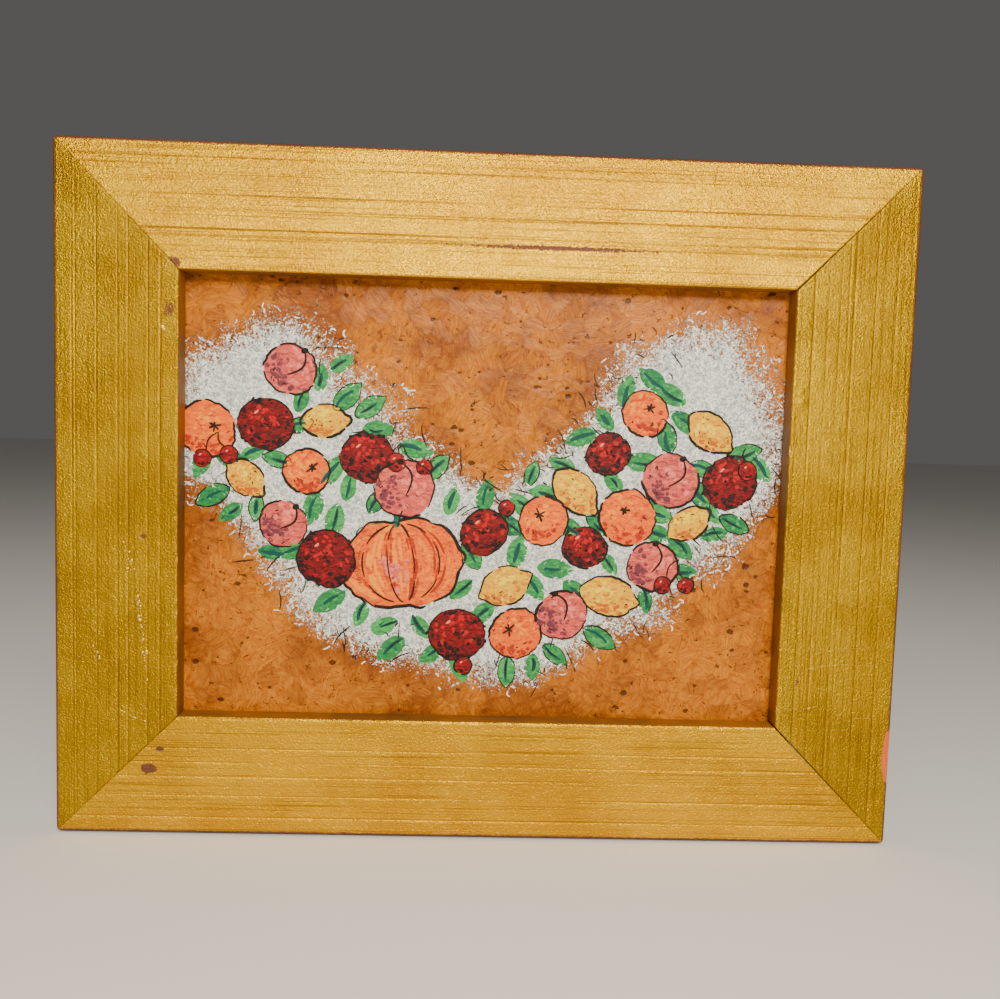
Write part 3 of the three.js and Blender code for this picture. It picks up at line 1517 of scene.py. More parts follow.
@dataclass
class Easel:
    """Holds the paint that is on the panel, in shapes that are joined at the end.

    A shape takes a fresh dab slowly once it is large, so each paint goes on to another when
    one is full. A dab's crown stands above it, and its root goes down into the cork.
    """

    panel: CorkPanel
    shapes: dict[Paint, list[Shape]] = field(default_factory=dict)
    full: int = 320
    crown: float = 0.045
    root: float = 0.12

    def shape(self, paint: Paint) -> Shape:
        """The shape that a paint is going into, and a fresh one when that grows large.

        Args:
            paint: The paint.

        Returns:
            The shape.
        """
        held = self.shapes.setdefault(paint, [])
        if not held or len(held[-1].verts) > self.full:
            fresh = bmesh.new()
            fresh.verts.layers.float.new("tone")
            held.append(fresh)
        return held[-1]

    def lay(
        self, paint: Paint, around: int, along: int, tone: float, lift: float,
        shaping: Callable[[Vector], Vector],
    ) -> None:
        """Lays one dab or stroke, as a flattened ball pressed into shape on the cork.

        Args:
            paint: The paint.
            around: How many faces the ball has around its poles.
            along: How many it has from pole to pole.
            tone: How light the paint is, from 0 to 1.
            lift: How far the paint stands off the cork.
            shaping: Takes a point of the ball to a place on the picture, with how high it
                is in the paint as its third number, from -1 to 1.
        """
        shape = self.shape(paint)
        made = bmesh.ops.create_uvsphere(shape, u_segments=around, v_segments=along, radius=1)
        layer = shape.verts.layers.float["tone"]
        for vert in made["verts"]:
            place = shaping(vert.co)
            rise = self.crown if place.z > 0 else lift + self.root
            height = lift + rise * place.z
            vert.co = self.panel.on_face(place.x, place.y, height)
            vert[layer] = tone

    def dab(
        self, paint: Paint, middle: Vector, half: tuple[float, float], turn: float = 0.0,
        tone: float = 0.5, lift: float = 0.1, edge: Callable[[float], float] | None = None,
        around: int = 14, along: int = 6,
    ) -> None:
        """Lays a dab with a soft rounded crown.

        Args:
            paint: The paint.
            middle: The middle of the dab.
            half: Half of its width and half of its height.
            turn: How far it is turned, in radians.
            tone: How light it is.
            lift: How far it stands off the cork.
            edge: How far its edge reaches at an angle, as a share, where it isn't an oval.
            around: How many faces it has around it.
            along: How many it has from its crown to its underside.
        """

        def shaping(point: Vector) -> Vector:
            """Flattens the ball, and pulls its rim to the edge.

            Args:
                point: A point of the ball.

            Returns:
                Its place on the picture, and its height in the paint.
            """
            reach = edge(math.atan2(point.y, point.x)) if edge else 1.0
            flat = turned(point.x * half[0] * reach, point.y * half[1] * reach, turn) + middle
            return Vector((flat.x, flat.y, point.z))

        self.lay(paint, around, along, tone, lift, shaping)

    def stroke(
        self, paint: Paint, path: Callable[[float], Vector], width: float, length: float,
        tone: float = 0.5, lift: float = 0.14, blunt: float = 0.5, step: float = 0.8,
    ) -> None:
        """Draws a stroke along a path, thinning out at both of its ends.

        Args:
            paint: The paint.
            path: The place at a share of the way along it.
            width: How wide it is in the middle.
            length: About how long it is.
            tone: How light it is.
            lift: How far it stands off the cork.
            blunt: How blunt its ends are: 1 is a long point, and less is blunter.
            step: How far apart its sections are.
        """

        def shaping(point: Vector) -> Vector:
            """Bends the ball, lying with its poles at the ends, along the path.

            Args:
                point: A point of the ball.

            Returns:
                Its place on the picture, and its height in the paint.
            """
            share = (point.z + 1) / 2
            ring = math.hypot(point.x, point.y)
            here = path(share)
            ahead = path(min(share + 0.02, 1.0)) - path(max(share - 0.02, 0.0))
            across = Vector((-ahead.y, ahead.x)).normalized()
            if ring < 1e-4:
                return Vector((here.x, here.y, 0.0))
            thin = ring ** blunt
            place = here + across * (point.x / ring * thin * width / 2)
            return Vector((place.x, place.y, point.y / ring * thin))

        self.lay(paint, 6, max(5, round(length / step)), tone, lift, shaping)

    def finish(self, finishes: dict[Paint, Material]) -> list[Piece]:
        """Turns each paint into a piece.

        Args:
            finishes: The finish of each paint.

        Returns:
            The pieces.
        """
        pieces = []
        for paint, held in self.shapes.items():
            whole = bmesh.new()
            for shape in held:
                scratch = bpy.data.meshes.new("scratch")
                shape.to_mesh(scratch)
                shape.free()
                whole.from_mesh(scratch)
                bpy.data.meshes.remove(scratch)
            bmesh.ops.recalc_face_normals(whole, faces=whole.faces)
            pieces.append(
                place_piece(paint.value, whole, [finishes[paint]], crease=60)
            )
        return pieces


@dataclass
class Motif:
    """Something painted about a middle of its own, with a dark outline around it."""

    middle: Vector
    size: float
    turn: float = 0.0
    lift: float = 0.08
    seed: int = 0
    rng: random.Random = field(init=False)

    paint = Paint.YELLOW
    squash = 1.0
    body_tone = 0.5

    def __post_init__(self) -> None:
        """Gives the motif chance of its own."""
        self.rng = random.Random(self.seed * 7919 + 13)

    def edge(self, angle: float) -> float:
        """How far the outline reaches at an angle, as a share of the size.

        Args:
            angle: The angle from the middle, in radians.

        Returns:
            The reach, as a share of the size.
        """
        x, z = math.cos(angle), math.sin(angle)
        broad = 0.07 * ripple(x * 1.3, z * 1.3, self.seed * 1.37)
        ragged = 0.045 * ripple(x * 6.0, z * 6.0, self.seed * 2.11)
        return 1 + broad + ragged

    def at(self, angle: float, share: float) -> Vector:
        """A place inside the outline, at an angle and a share of the way out to it.

        Args:
            angle: The angle from the middle, in radians.
            share: The share of the way out.

        Returns:
            The place.
        """
        reach = self.edge(angle) * self.size / 2 * share
        flat = turned(math.cos(angle) * reach, math.sin(angle) * reach * self.squash, self.turn)
        return flat + self.middle

    def body(self, easel: Easel) -> None:
        """Fills the outline with paint."""
        half = (self.size / 2, self.size / 2 * self.squash)
        easel.dab(self.paint, self.middle, half, self.turn, self.body_tone, self.lift, self.edge, 40, 10)

    def touches(
        self, easel: Easel, count: int, facing: float, spread: float, reach: tuple[float, float],
        tone: tuple[float, float], width: float = 1.0, length: float = 2.4,
        paint: Paint | None = None, lift: float = 0.03,
    ) -> None:
        """Lays short curved touches of the brush over one part of the motif.

        Args:
            easel: What holds the paint.
            count: How many there are.
            facing: The direction from the middle that they gather in, in degrees.
            spread: How far they stray to either side of it, in degrees.
            reach: The nearest and farthest share of the way out that they lie at.
            tone: The darkest and the lightest of them.
            width: About how wide each is.
            length: About how long each is.
            paint: Their paint, where it isn't the body's.
            lift: How far they stand off the body.
        """
        for _ in range(count):
            angle = math.radians(facing + self.rng.gauss(0, spread / 2)) - self.turn
            share = self.rng.uniform(*reach)
            swing = length * self.rng.uniform(0.6, 1.3) / (self.size * max(share, 0.3))
            swing *= self.rng.choice((-1, 1))
            slant = self.rng.uniform(-0.12, 0.12)
            easel.stroke(
                paint or self.paint,
                lambda t: self.at(angle + swing * (t - 0.5), share + slant * (t - 0.5)),
                width * self.rng.uniform(0.6, 1.3), length, self.rng.uniform(*tone), self.lift + lift,
            )

    def outline(self, easel: Easel, parts: int = 5, width: float = 0.62) -> None:
        """Draws around it in a few broken strokes of uneven weight.

        Args:
            easel: What holds the paint.
            parts: How many strokes it takes.
            width: About how wide each stroke is.
        """
        start = self.rng.uniform(0, math.tau)
        for part in range(parts):
            first = start + math.tau * (part + self.rng.uniform(-0.12, 0.10)) / parts
            last = start + math.tau * (part + self.rng.uniform(0.74, 1.10)) / parts
            drift = self.rng.uniform(-0.07, 0.07)
            easel.stroke(
                Paint.INK,
                lambda t: self.at(
                    first + (last - first) * t,
                    1.0 + drift * (t - 0.4) + 0.035 * ripple(t * 5, self.seed, part),
                ),
                width * self.rng.uniform(0.55, 1.35), self.size * math.pi / parts,
                self.rng.uniform(0.2, 0.55), self.lift + 0.07, 0.45, 0.6,
            )

    def details(self, easel: Easel) -> None:
        """Adds what tells this motif from the others."""

    def draw(self, easel: Easel) -> None:
        """Paints the whole motif.

        Args:
            easel: What holds the paint.
        """
        self.body(easel)
        self.details(easel)
        self.outline(easel)


@dataclass
class Lemon(Motif):
    """A lemon, pointed at both ends."""

    squash = 0.76

    def edge(self, angle: float) -> float:
        """An oval with a nub at each end."""
        nub = 0.17 * math.exp(-((math.sin(angle) / 0.26) ** 2))
        return super().edge(angle) * (0.93 + nub * (1.25 if math.cos(angle) > 0 else 0.8))

    def details(self, easel: Easel) -> None:
        """A warm shadow, pale touches and a few pores.

        Args:
            easel: What holds the paint.
        """
        self.touches(easel, 15, 275, 75, (0.55, 0.9), (-0.05, 0.2), 0.9)
        self.touches(easel, 9, 250, 90, (0.3, 0.7), (0.2, 0.45), 0.9)
        self.touches(easel, 14, 110, 100, (0.05, 0.75), (0.75, 1.1), 0.9, 2.8, None, 0.045)
        self.touches(easel, 8, 270, 200, (0.2, 0.85), (0.3, 0.8), 0.3, 1.3, Paint.INK, 0.06)


@dataclass
class Orange(Motif):
    """An orange, with the small star where its stalk was."""

    paint = Paint.ORANGE
    squash = 0.96

    def details(self, easel: Easel) -> None:
        """A shadow, light touches, and the star.

        Args:
            easel: What holds the paint.
        """
        self.touches(easel, 18, 265, 75, (0.5, 0.92), (-0.05, 0.2), 1.0)
        self.touches(easel, 16, 110, 100, (0.1, 0.8), (0.7, 1.1), 0.9, 2.4, None, 0.045)
        self.touches(easel, 6, 240, 160, (0.4, 0.9), (0.3, 0.8), 0.3, 1.3, Paint.INK, 0.06)
        heart = self.at(self.rng.uniform(0.8, 2.2), 0.3)
        for ray in range(6):
            angle = self.turn + ray * math.tau / 6 + self.rng.uniform(-0.25, 0.25)
            tip = turned(1.5, 0, angle) * self.rng.uniform(0.6, 1.3)
            width = self.rng.uniform(0.4, 0.7)
            easel.stroke(Paint.INK, lambda t: heart + tip * t, width, 1.4, 0.4, self.lift + 0.08)


@dataclass
class Peach(Motif):
    """A peach, with a mauve side and a crease."""

    paint = Paint.ROSE
    squash = 0.94

    def details(self, easel: Easel) -> None:
        """A mauve side, light touches, and the crease in dark line.

        Args:
            easel: What holds the paint.
        """
        self.touches(easel, 22, 205, 70, (0.35, 0.92), (-0.1, 0.2), 1.2)
        self.touches(easel, 10, 200, 100, (0.2, 0.7), (0.15, 0.4), 1.0)
        self.touches(easel, 14, 40, 80, (0.1, 0.85), (0.7, 1.1), 1.1, 2.8, None, 0.045)
        self.touches(easel, 7, 210, 90, (0.6, 0.95), (0.4, 0.9), 0.35, 1.4, Paint.INK, 0.06)
        top = self.at(math.radians(80), 0.95)
        low = self.at(math.radians(262), 0.25)
        bow = turned(self.size * 0.16, 0, self.turn)
        crease = bowed(top, low, bow)
        easel.stroke(Paint.INK, crease, 0.6, self.size * 0.7, 0.35, self.lift + 0.08)
        easel.dab(Paint.INK, top, (0.9, 0.7), 0.4, 0.3, self.lift + 0.08, self.edge, 10, 4)


@dataclass
class Plum(Motif):
    """A dark plum, with bright streaks of red."""

    paint = Paint.CRIMSON
    squash = 0.9
    body_tone = 0.42

    def details(self, easel: Easel) -> None:
        """Smoky dark all round the rim, red touches and one cold light.

        Args:
            easel: What holds the paint.
        """
        self.touches(easel, 16, 90, 360, (0.8, 1.05), (0.1, 0.6), 0.8, 1.8, Paint.INK, 0.035)
        self.touches(easel, 18, 260, 120, (0.5, 0.95), (-0.2, 0.1), 1.2)
        self.touches(easel, 24, 100, 130, (0.1, 0.8), (0.7, 1.2), 0.9, 2.4, None, 0.045)
        self.touches(easel, 6, 90, 300, (0.0, 0.25), (0.1, 0.4), 0.7, 1.4, Paint.INK, 0.06)
        glint = self.at(math.radians(125) - self.turn, 0.55)
        easel.dab(Paint.ROSE, glint, (0.7, 0.3), 0.7, 0.9, self.lift + 0.08, None, 8, 4)

    def outline(self, easel: Easel, parts: int = 4, width: float = 0.5) -> None:
        """A softer line than the pale fruit have."""
        super().outline(easel, parts, width)


@dataclass
class Cherry(Motif):
    """A small cherry on a stalk."""

    paint = Paint.CRIMSON
    body_tone = 0.6
    stalk: Vector = field(default_factory=lambda: Vector((0.0, 5.0)))

    def body(self, easel: Easel) -> None:
        """A small round dab."""
        half = (self.size / 2, self.size / 2)
        easel.dab(self.paint, self.middle, half, 0, self.body_tone, self.lift, self.edge, 14, 6)

    def details(self, easel: Easel) -> None:
        """A dark side, a light, and the stalk.

        Args:
            easel: What holds the paint.
        """
        self.touches(easel, 4, 265, 70, (0.4, 0.8), (-0.1, 0.15), 0.7, 1.4)
        glint = self.at(math.radians(120), 0.45)
        easel.dab(Paint.ROSE, glint, (0.42, 0.24), 0.6, 0.9, self.lift + 0.07, None, 6, 4)
        top = self.middle + self.stalk
        bow = turned(self.stalk.length * 0.15, 0, math.atan2(self.stalk.y, self.stalk.x) + math.pi / 2)
        start = self.at(math.atan2(self.stalk.y, self.stalk.x) - self.turn, 0.9)
        stalk = bowed(start, top, bow)
        easel.stroke(Paint.INK, stalk, 0.4, self.stalk.length, 0.5, self.lift + 0.06)

    def outline(self, easel: Easel, parts: int = 2, width: float = 0.38) -> None:
        """Two light strokes around it."""
        super().outline(easel, parts, width)


@dataclass
class Leaf(Motif):
    """A broad pointed leaf, with a dark green rib."""

    paint = Paint.GREEN
    squash = 0.62

    def edge(self, angle: float) -> float:
        """A leaf's outline, with its tip at an angle of 0."""
        point = 0.16 * math.exp(-((math.sin(angle) / 0.3) ** 2))
        return super().edge(angle) * (0.88 + point * (1.2 if math.cos(angle) > 0 else 0.5))

    def body(self, easel: Easel) -> None:
        """The blade, in two or three strokes of uneven green.

        Args:
            easel: What holds the paint.
        """
        half = (self.size / 2, self.size / 2 * self.squash)
        tone = self.rng.uniform(0.4, 0.8)
        easel.dab(self.paint, self.middle, half, self.turn, tone, self.lift, self.edge, 24, 6)
        self.touches(easel, 4, 90, 300, (0.2, 0.7), (0.6, 1.1), 0.8, 2.2)

    def details(self, easel: Easel) -> None:
        """The rib, in the deepest green, and a little black along it.

        Args:
            easel: What holds the paint.
        """
        start = self.at(math.pi, self.rng.uniform(0.5, 1.1))
        end = self.at(0.0, self.rng.uniform(0.3, 0.7))
        bow = turned(0, self.size * 0.08 * self.rng.uniform(-1, 1), self.turn)
        rib, width = bowed(start, end, bow), self.rng.uniform(0.8, 1.3)
        easel.stroke(self.paint, rib, width, self.size, -0.15, self.lift + 0.045, 0.7)
        if self.rng.random() < 0.5:
            rib = bowed(start, end, bow, 0.1, 0.7)
            easel.stroke(Paint.INK, rib, 0.36, self.size * 0.7, 0.4, self.lift + 0.06, 0.6)

    def outline(self, easel: Easel, parts: int = 3, width: float = 0.34) -> None:
        """A touch of dark line on some."""
        if self.rng.random() < 0.25:
            super().outline(easel, parts, width)


@dataclass
class Gourd(Motif):
    """A broad ribbed gourd, with a rosy glow and a stalk."""

    paint = Paint.ORANGE
    squash = 0.78

    def edge(self, angle: float) -> float:
        """A lobed round, dipped at its top and bottom.

        Args:
            angle: The angle from the middle, in radians.

        Returns:
            The reach, as a share of the size.
        """
        lobes = 0.018 * math.cos(angle * 9 + 0.4)
        dip = 0.10 * math.exp(-((math.cos(angle) / 0.28) ** 2))
        return (1 + (super().edge(angle) - 1) * 0.4) * (1 + lobes - dip)

    def body(self, easel: Easel) -> None:
        """Fills it more finely than the small fruit."""
        half = (self.size / 2, self.size / 2 * self.squash)
        easel.dab(self.paint, self.middle, half, self.turn, 0.5, self.lift, self.edge, 56, 18)

    def rib(self, side: float, first: float = 0.0, last: float = 1.0) -> Callable[[float], Vector]:
        """The path of one rib, or of part of one, from the top round to the bottom.

        Args:
            side: How far out it bows, from -1 at the left to 1 at the right.
            first: Where the part starts, as a share of the rib.
            last: Where it ends.

        Returns:
            The path.
        """
        half = self.size / 2

        def path(share: float) -> Vector:
            """A place along the rib.

            Args:
                share: The share of the way along it.

            Returns:
                The place.
            """
            angle = math.pi * (0.07 + 0.86 * (first + (last - first) * share))
            out = side * half * 0.95 * math.sin(angle)
            flat = turned(out, math.cos(angle) * half * self.squash * 0.84, self.turn)
            return flat + self.middle

        return path

    def rib_touches(self, easel: Easel, count: int, tone: tuple[float, float], darker: bool) -> None:
        """Lays touches of the brush that run with the ribs.

        Args:
            easel: What holds the paint.
            count: How many are tried.
            tone: The darkest and the lightest of them.
            darker: Whether they lie in the hollows, or on the swells.
        """
        for _ in range(count):
            side = self.rng.uniform(-0.95, 0.98)
            in_hollow = math.cos((side + 0.24) * math.tau / 0.46) > 0.1
            if in_hollow != darker:
                continue
            first = self.rng.uniform(0.0, 0.7)
            reach = self.rng.uniform(0.12, 0.3)
            easel.stroke(
                self.paint, self.rib(side, first, first + reach), self.rng.uniform(0.5, 1.1),
                self.size * reach, self.rng.uniform(*tone) - 0.25 * side,
                self.lift + (0.035 if darker else 0.045), 0.6, 1.0,
            )

    def details(self, easel: Easel) -> None:
        """Light and dark between the ribs, the rosy glow, the ribs and the stalk.

        Args:
            easel: What holds the paint.
        """
        self.rib_touches(easel, 120, (0.0, 0.25), True)
        self.rib_touches(easel, 90, (0.6, 1.0), False)
        glow = self.at(math.radians(200), 0.18)
        for _ in range(34):
            spot = glow + turned(abs(self.rng.gauss(0, 2.6)), 0, self.rng.uniform(0, math.tau))
            half = (self.rng.uniform(0.6, 1.3), self.rng.uniform(0.4, 0.7))
            tone = self.rng.uniform(0.4, 1.0)
            turn = self.rng.uniform(0, 3)
            easel.dab(Paint.ROSE, spot, half, turn, tone, self.lift + 0.06, self.edge, 8, 4)
        for side in (-0.68, -0.24, 0.22, 0.66):
            for first in (0.0, 0.36, 0.68):
                last = first + self.rng.uniform(0.2, 0.36)
                easel.stroke(
                    Paint.INK, self.rib(side, first, last), self.rng.uniform(0.35, 0.65),
                    self.size * 0.3, 0.4, self.lift + 0.09, 0.5, 0.8,
                )
        foot = self.at(math.radians(90), 0.86)
        tip = foot + turned(1.8, 4.6, self.turn)
        stalk, line = (bowed(foot, tip, Vector((bow, 0))) for bow in (-0.9, -0.2))
        easel.stroke(Paint.GREEN, stalk, 1.9, 5.0, 0.2, self.lift + 0.08, 0.3)
        easel.stroke(Paint.INK, line, 0.45, 5.0, 0.4, self.lift + 0.12, 0.5)

    def outline(self, easel: Easel, parts: int = 6, width: float = 0.7) -> None:
        """Draws around it twice, as a hand that goes back over a line does."""
        super().outline(easel, parts, width)
        super().outline(easel, parts - 1, width * 0.7)


@dataclass
class Swag:
    """A swag of fruit and leaves hung across the picture, on a stippled pale ground."""

    half_span: float = 51.0
    low: float = -20.0
    rise: float = 38.0
    half_width: float = 19.0
    ground_spread: float = 8.5
    ground_fade: float = 10.0
    thickest_ground: float = 1.35
    leaf_tries: int = 900
    most_leaves: int = 80
    twig_tries: int = 170
    half_view: tuple[float, float] = (71.0, 52.0)
    flecks: int = 2600
    bunches: Sequence[tuple[float, float]] = (
        (-1.03, -13.0), (1.02, -12.5), (0.18, 18.5), (-0.62, 18.0), (0.66, -19.5), (-0.05, -19.0)
    )
    seed: int = 77
    rng: random.Random = field(init=False)

    def __post_init__(self) -> None:
        """Gives the swag chance of its own."""
        self.rng = random.Random(self.seed)

    def spine(self, share: float) -> Vector:
        """The middle line of the swag, at a share from its left end (-1) to its right (1)."""
        return Vector((self.half_span * share, self.low + self.rise * abs(share) ** 1.7))

    def beside(self, share: float, out: float) -> Vector:
        """A place beside the middle line, towards the upper side where out is above 0."""
        ahead = self.spine(min(share + 0.02, 1.1)) - self.spine(max(share - 0.02, -1.1))
        return self.spine(share) + Vector((-ahead.y, ahead.x)).normalized() * out

    def ground(self, across: float, up: float) -> float:
        """How thick the pale ground is, from 1 in the swag's heart to 0 past its edge.

        Args:
            across: The distance to the right of the sheet's middle.
            up: The height above the sheet's middle.

        Returns:
            The thickness.
        """
        nearest = min(
            (Vector((across, up)) - self.spine(step / 14)).length for step in range(-14, 15)
        )
        wander = 6.0 * ripple(across * 0.055, up * 0.055, 2.2)
        wander += 2.6 * ripple(across * 0.2, up * 0.2, 7.1)
        inside = (self.half_width + self.ground_spread + wander - nearest) / self.ground_fade
        return min(max(inside, 0.0), self.thickest_ground)

    def next_kind(self, middle: Vector, motifs: Sequence[Motif]) -> type[Motif]:
        """Picks the kind of fruit that is scarcest near a place, and in the whole swag.

        Args:
            middle: The place.
            motifs: What is painted so far.

        Returns:
            The kind.
        """
        wanted = {Plum: 9, Peach: 8, Lemon: 8, Orange: 5}
        near = [type(other) for other in motifs if (other.middle - middle).length < 19]
        all_kinds = [type(other) for other in motifs]
        scores = {
            kind: 2.5 * near.count(kind) + all_kinds.count(kind) * 8 / share + self.rng.random()
            for kind, share in wanted.items()
        }
        return min(scores, key=scores.get)

    def fruit(self) -> list[Motif]:
        """Where each fruit hangs: three abreast, taking turns, with the gourd among them.

        Returns:
            The fruit, in the order that they are painted.
        """
        motifs: list[Motif] = [Gourd(self.beside(-0.36, -2.0), 29.0, 0.12, seed=1)]
        for rank, (out, count) in enumerate(((-13.0, 13), (-1.0, 12), (11.5, 12))):
            for step in range(count):
                share = -1.1 + (step + (0.55 if rank == 1 else 0.1)) * 2.2 / count
                middle = self.beside(share, out + self.rng.uniform(-1.6, 1.6))
                size = self.rng.uniform(10.8, 14.4)
                clear = all(
                    (middle - other.middle).length > (size + other.size) * 0.405 for other in motifs
                )
                if clear and all(abs(m) < half - 5 for m, half in zip(middle, self.half_view)):
                    kind = self.next_kind(middle, motifs)
                    turn = self.rng.uniform(-0.9, 0.9)
                    motifs.append(kind(middle, size, turn, seed=len(motifs) + 2))
        return motifs

    def leaves(self, fruit: Sequence[Motif]) -> list[Motif]:
        """Tucks leaves between the fruit and lets them stand out along both sides.

        Args:
            fruit: The fruit that they lie between.

        Returns:
            The leaves.
        """
        leaves: list[Motif] = []
        for tries in range(self.leaf_tries):
            share = self.rng.uniform(-1.05, 1.05)
            out = self.rng.uniform(-1, 1) * (self.half_width + 2.5)
            middle = self.beside(share, out)
            size = self.rng.uniform(6.2, 9.0)
            gap = min((middle - f.middle).length - f.size / 2 for f in fruit)
            near = min(((middle - leaf.middle).length for leaf in leaves), default=99.0)
            if 0.2 < gap < 7 and near > 5.2 and len(leaves) < self.most_leaves:
                ahead = self.spine(share + 0.02) - self.spine(share - 0.02)
                away = math.atan2(ahead.y, ahead.x) + math.copysign(math.pi / 2, out)
                turn = away + self.rng.uniform(-1.1, 1.1)
                leaves.append(Leaf(middle, size, turn, 0.06, seed=500 + tries))
        return leaves

    def cherries(self) -> list[Motif]:
        """Hangs a few bunches of cherries from the swag's ends and its upper side.

        Returns:
            The cherries.
        """
        cherries: list[Motif] = []
        for bunch, (share, out) in enumerate(self.bunches):
            knot = self.beside(share, out) + Vector((0, 3.0))
            for berry in range(self.rng.choice((3, 4, 5))):
                hang = turned(self.rng.uniform(4.0, 7.5), 0, math.radians(self.rng.uniform(225, 315)))
                spot = knot + hang
                size = self.rng.uniform(3.6, 4.6)
                if all((spot - other.middle).length > 3.1 for other in cherries):
                    cherries.append(
                        Cherry(spot, size, 0.0, 0.17, seed=800 + bunch * 10 + berry, stalk=-hang)
                    )
        return cherries

    def twigs(self, easel: Easel) -> None:
        """Draws thin dark sprigs and tendrils that stray out over the pale ground.

        Args:
            easel: What holds the paint.
        """
        for _ in range(self.twig_tries):
            share = self.rng.uniform(-1.15, 1.15)
            side = self.rng.choice((-1, 1))
            start = self.beside(share, side * self.rng.uniform(13, 26))
            if abs(start.x) > self.half_view[0] - 1 or abs(start.y) > self.half_view[1] - 1:
                continue
            ahead = self.spine(share + 0.02) - self.spine(share - 0.02)
            angle = math.atan2(ahead.y, ahead.x) + side * math.pi / 2 + self.rng.uniform(-0.9, 0.9)
            length = 1.2 + 5.5 * self.rng.random() ** 2
            bend = self.rng.uniform(-1.2, 1.2)
            easel.stroke(
                Paint.INK,
                lambda t: start + turned(length * t, bend * math.sin(2.2 * t), angle),
                self.rng.uniform(0.24, 0.42), length, self.rng.uniform(0.3, 0.7), 0.075, 0.8,
            )

    def stipple(self, easel: Easel) -> None:
        """Dots small curls of pale paint, thickest along the swag and thinning out from it.

        Args:
            easel: What holds the paint.
        """
        laid = 0
        while laid < self.flecks:
            across, up = (self.rng.uniform(-half, half) for half in self.half_view)
            chance = self.ground(across, up)
            if self.rng.random() > 0.16 + chance * 0.8 or chance <= 0.0:
                continue
            laid += 1
            middle = Vector((across, up))
            turn = self.rng.uniform(0, math.tau)
            bend = self.rng.uniform(-0.9, 0.9)
            length = self.rng.uniform(0.6, 2.0)
            easel.stroke(
                Paint.PALE,
                lambda t: middle + turned(length * (t - 0.5), bend * length * (t - t * t) * 2, turn),
                self.rng.uniform(0.22, 0.52), length, self.rng.uniform(0.2, 1.0), 0.05, 0.5, 1.0,
            )

    def paint(self, easel: Easel) -> None:
        """Paints the ground, then the leaves, then the fruit over them.

        Args:
            easel: What holds the paint.
        """
        self.stipple(easel)
        self.twigs(easel)
        fruit = self.fruit()
        for leaf in self.leaves(fruit):
            leaf.draw(easel)
        for number, motif in enumerate(fruit):
            crowded = sum(
                (motif.middle - other.middle).length < (motif.size + other.size) * 0.53
                for other in fruit[:number]
            )
            motif.lift = 0.09 + 0.06 * min(crowded, 3)
            motif.draw(easel)
        for cherry in self.cherries():
            cherry.lift = 0.26
            cherry.draw(easel)
        log.info("swag: %d fruit", len(fruit))


# The studio


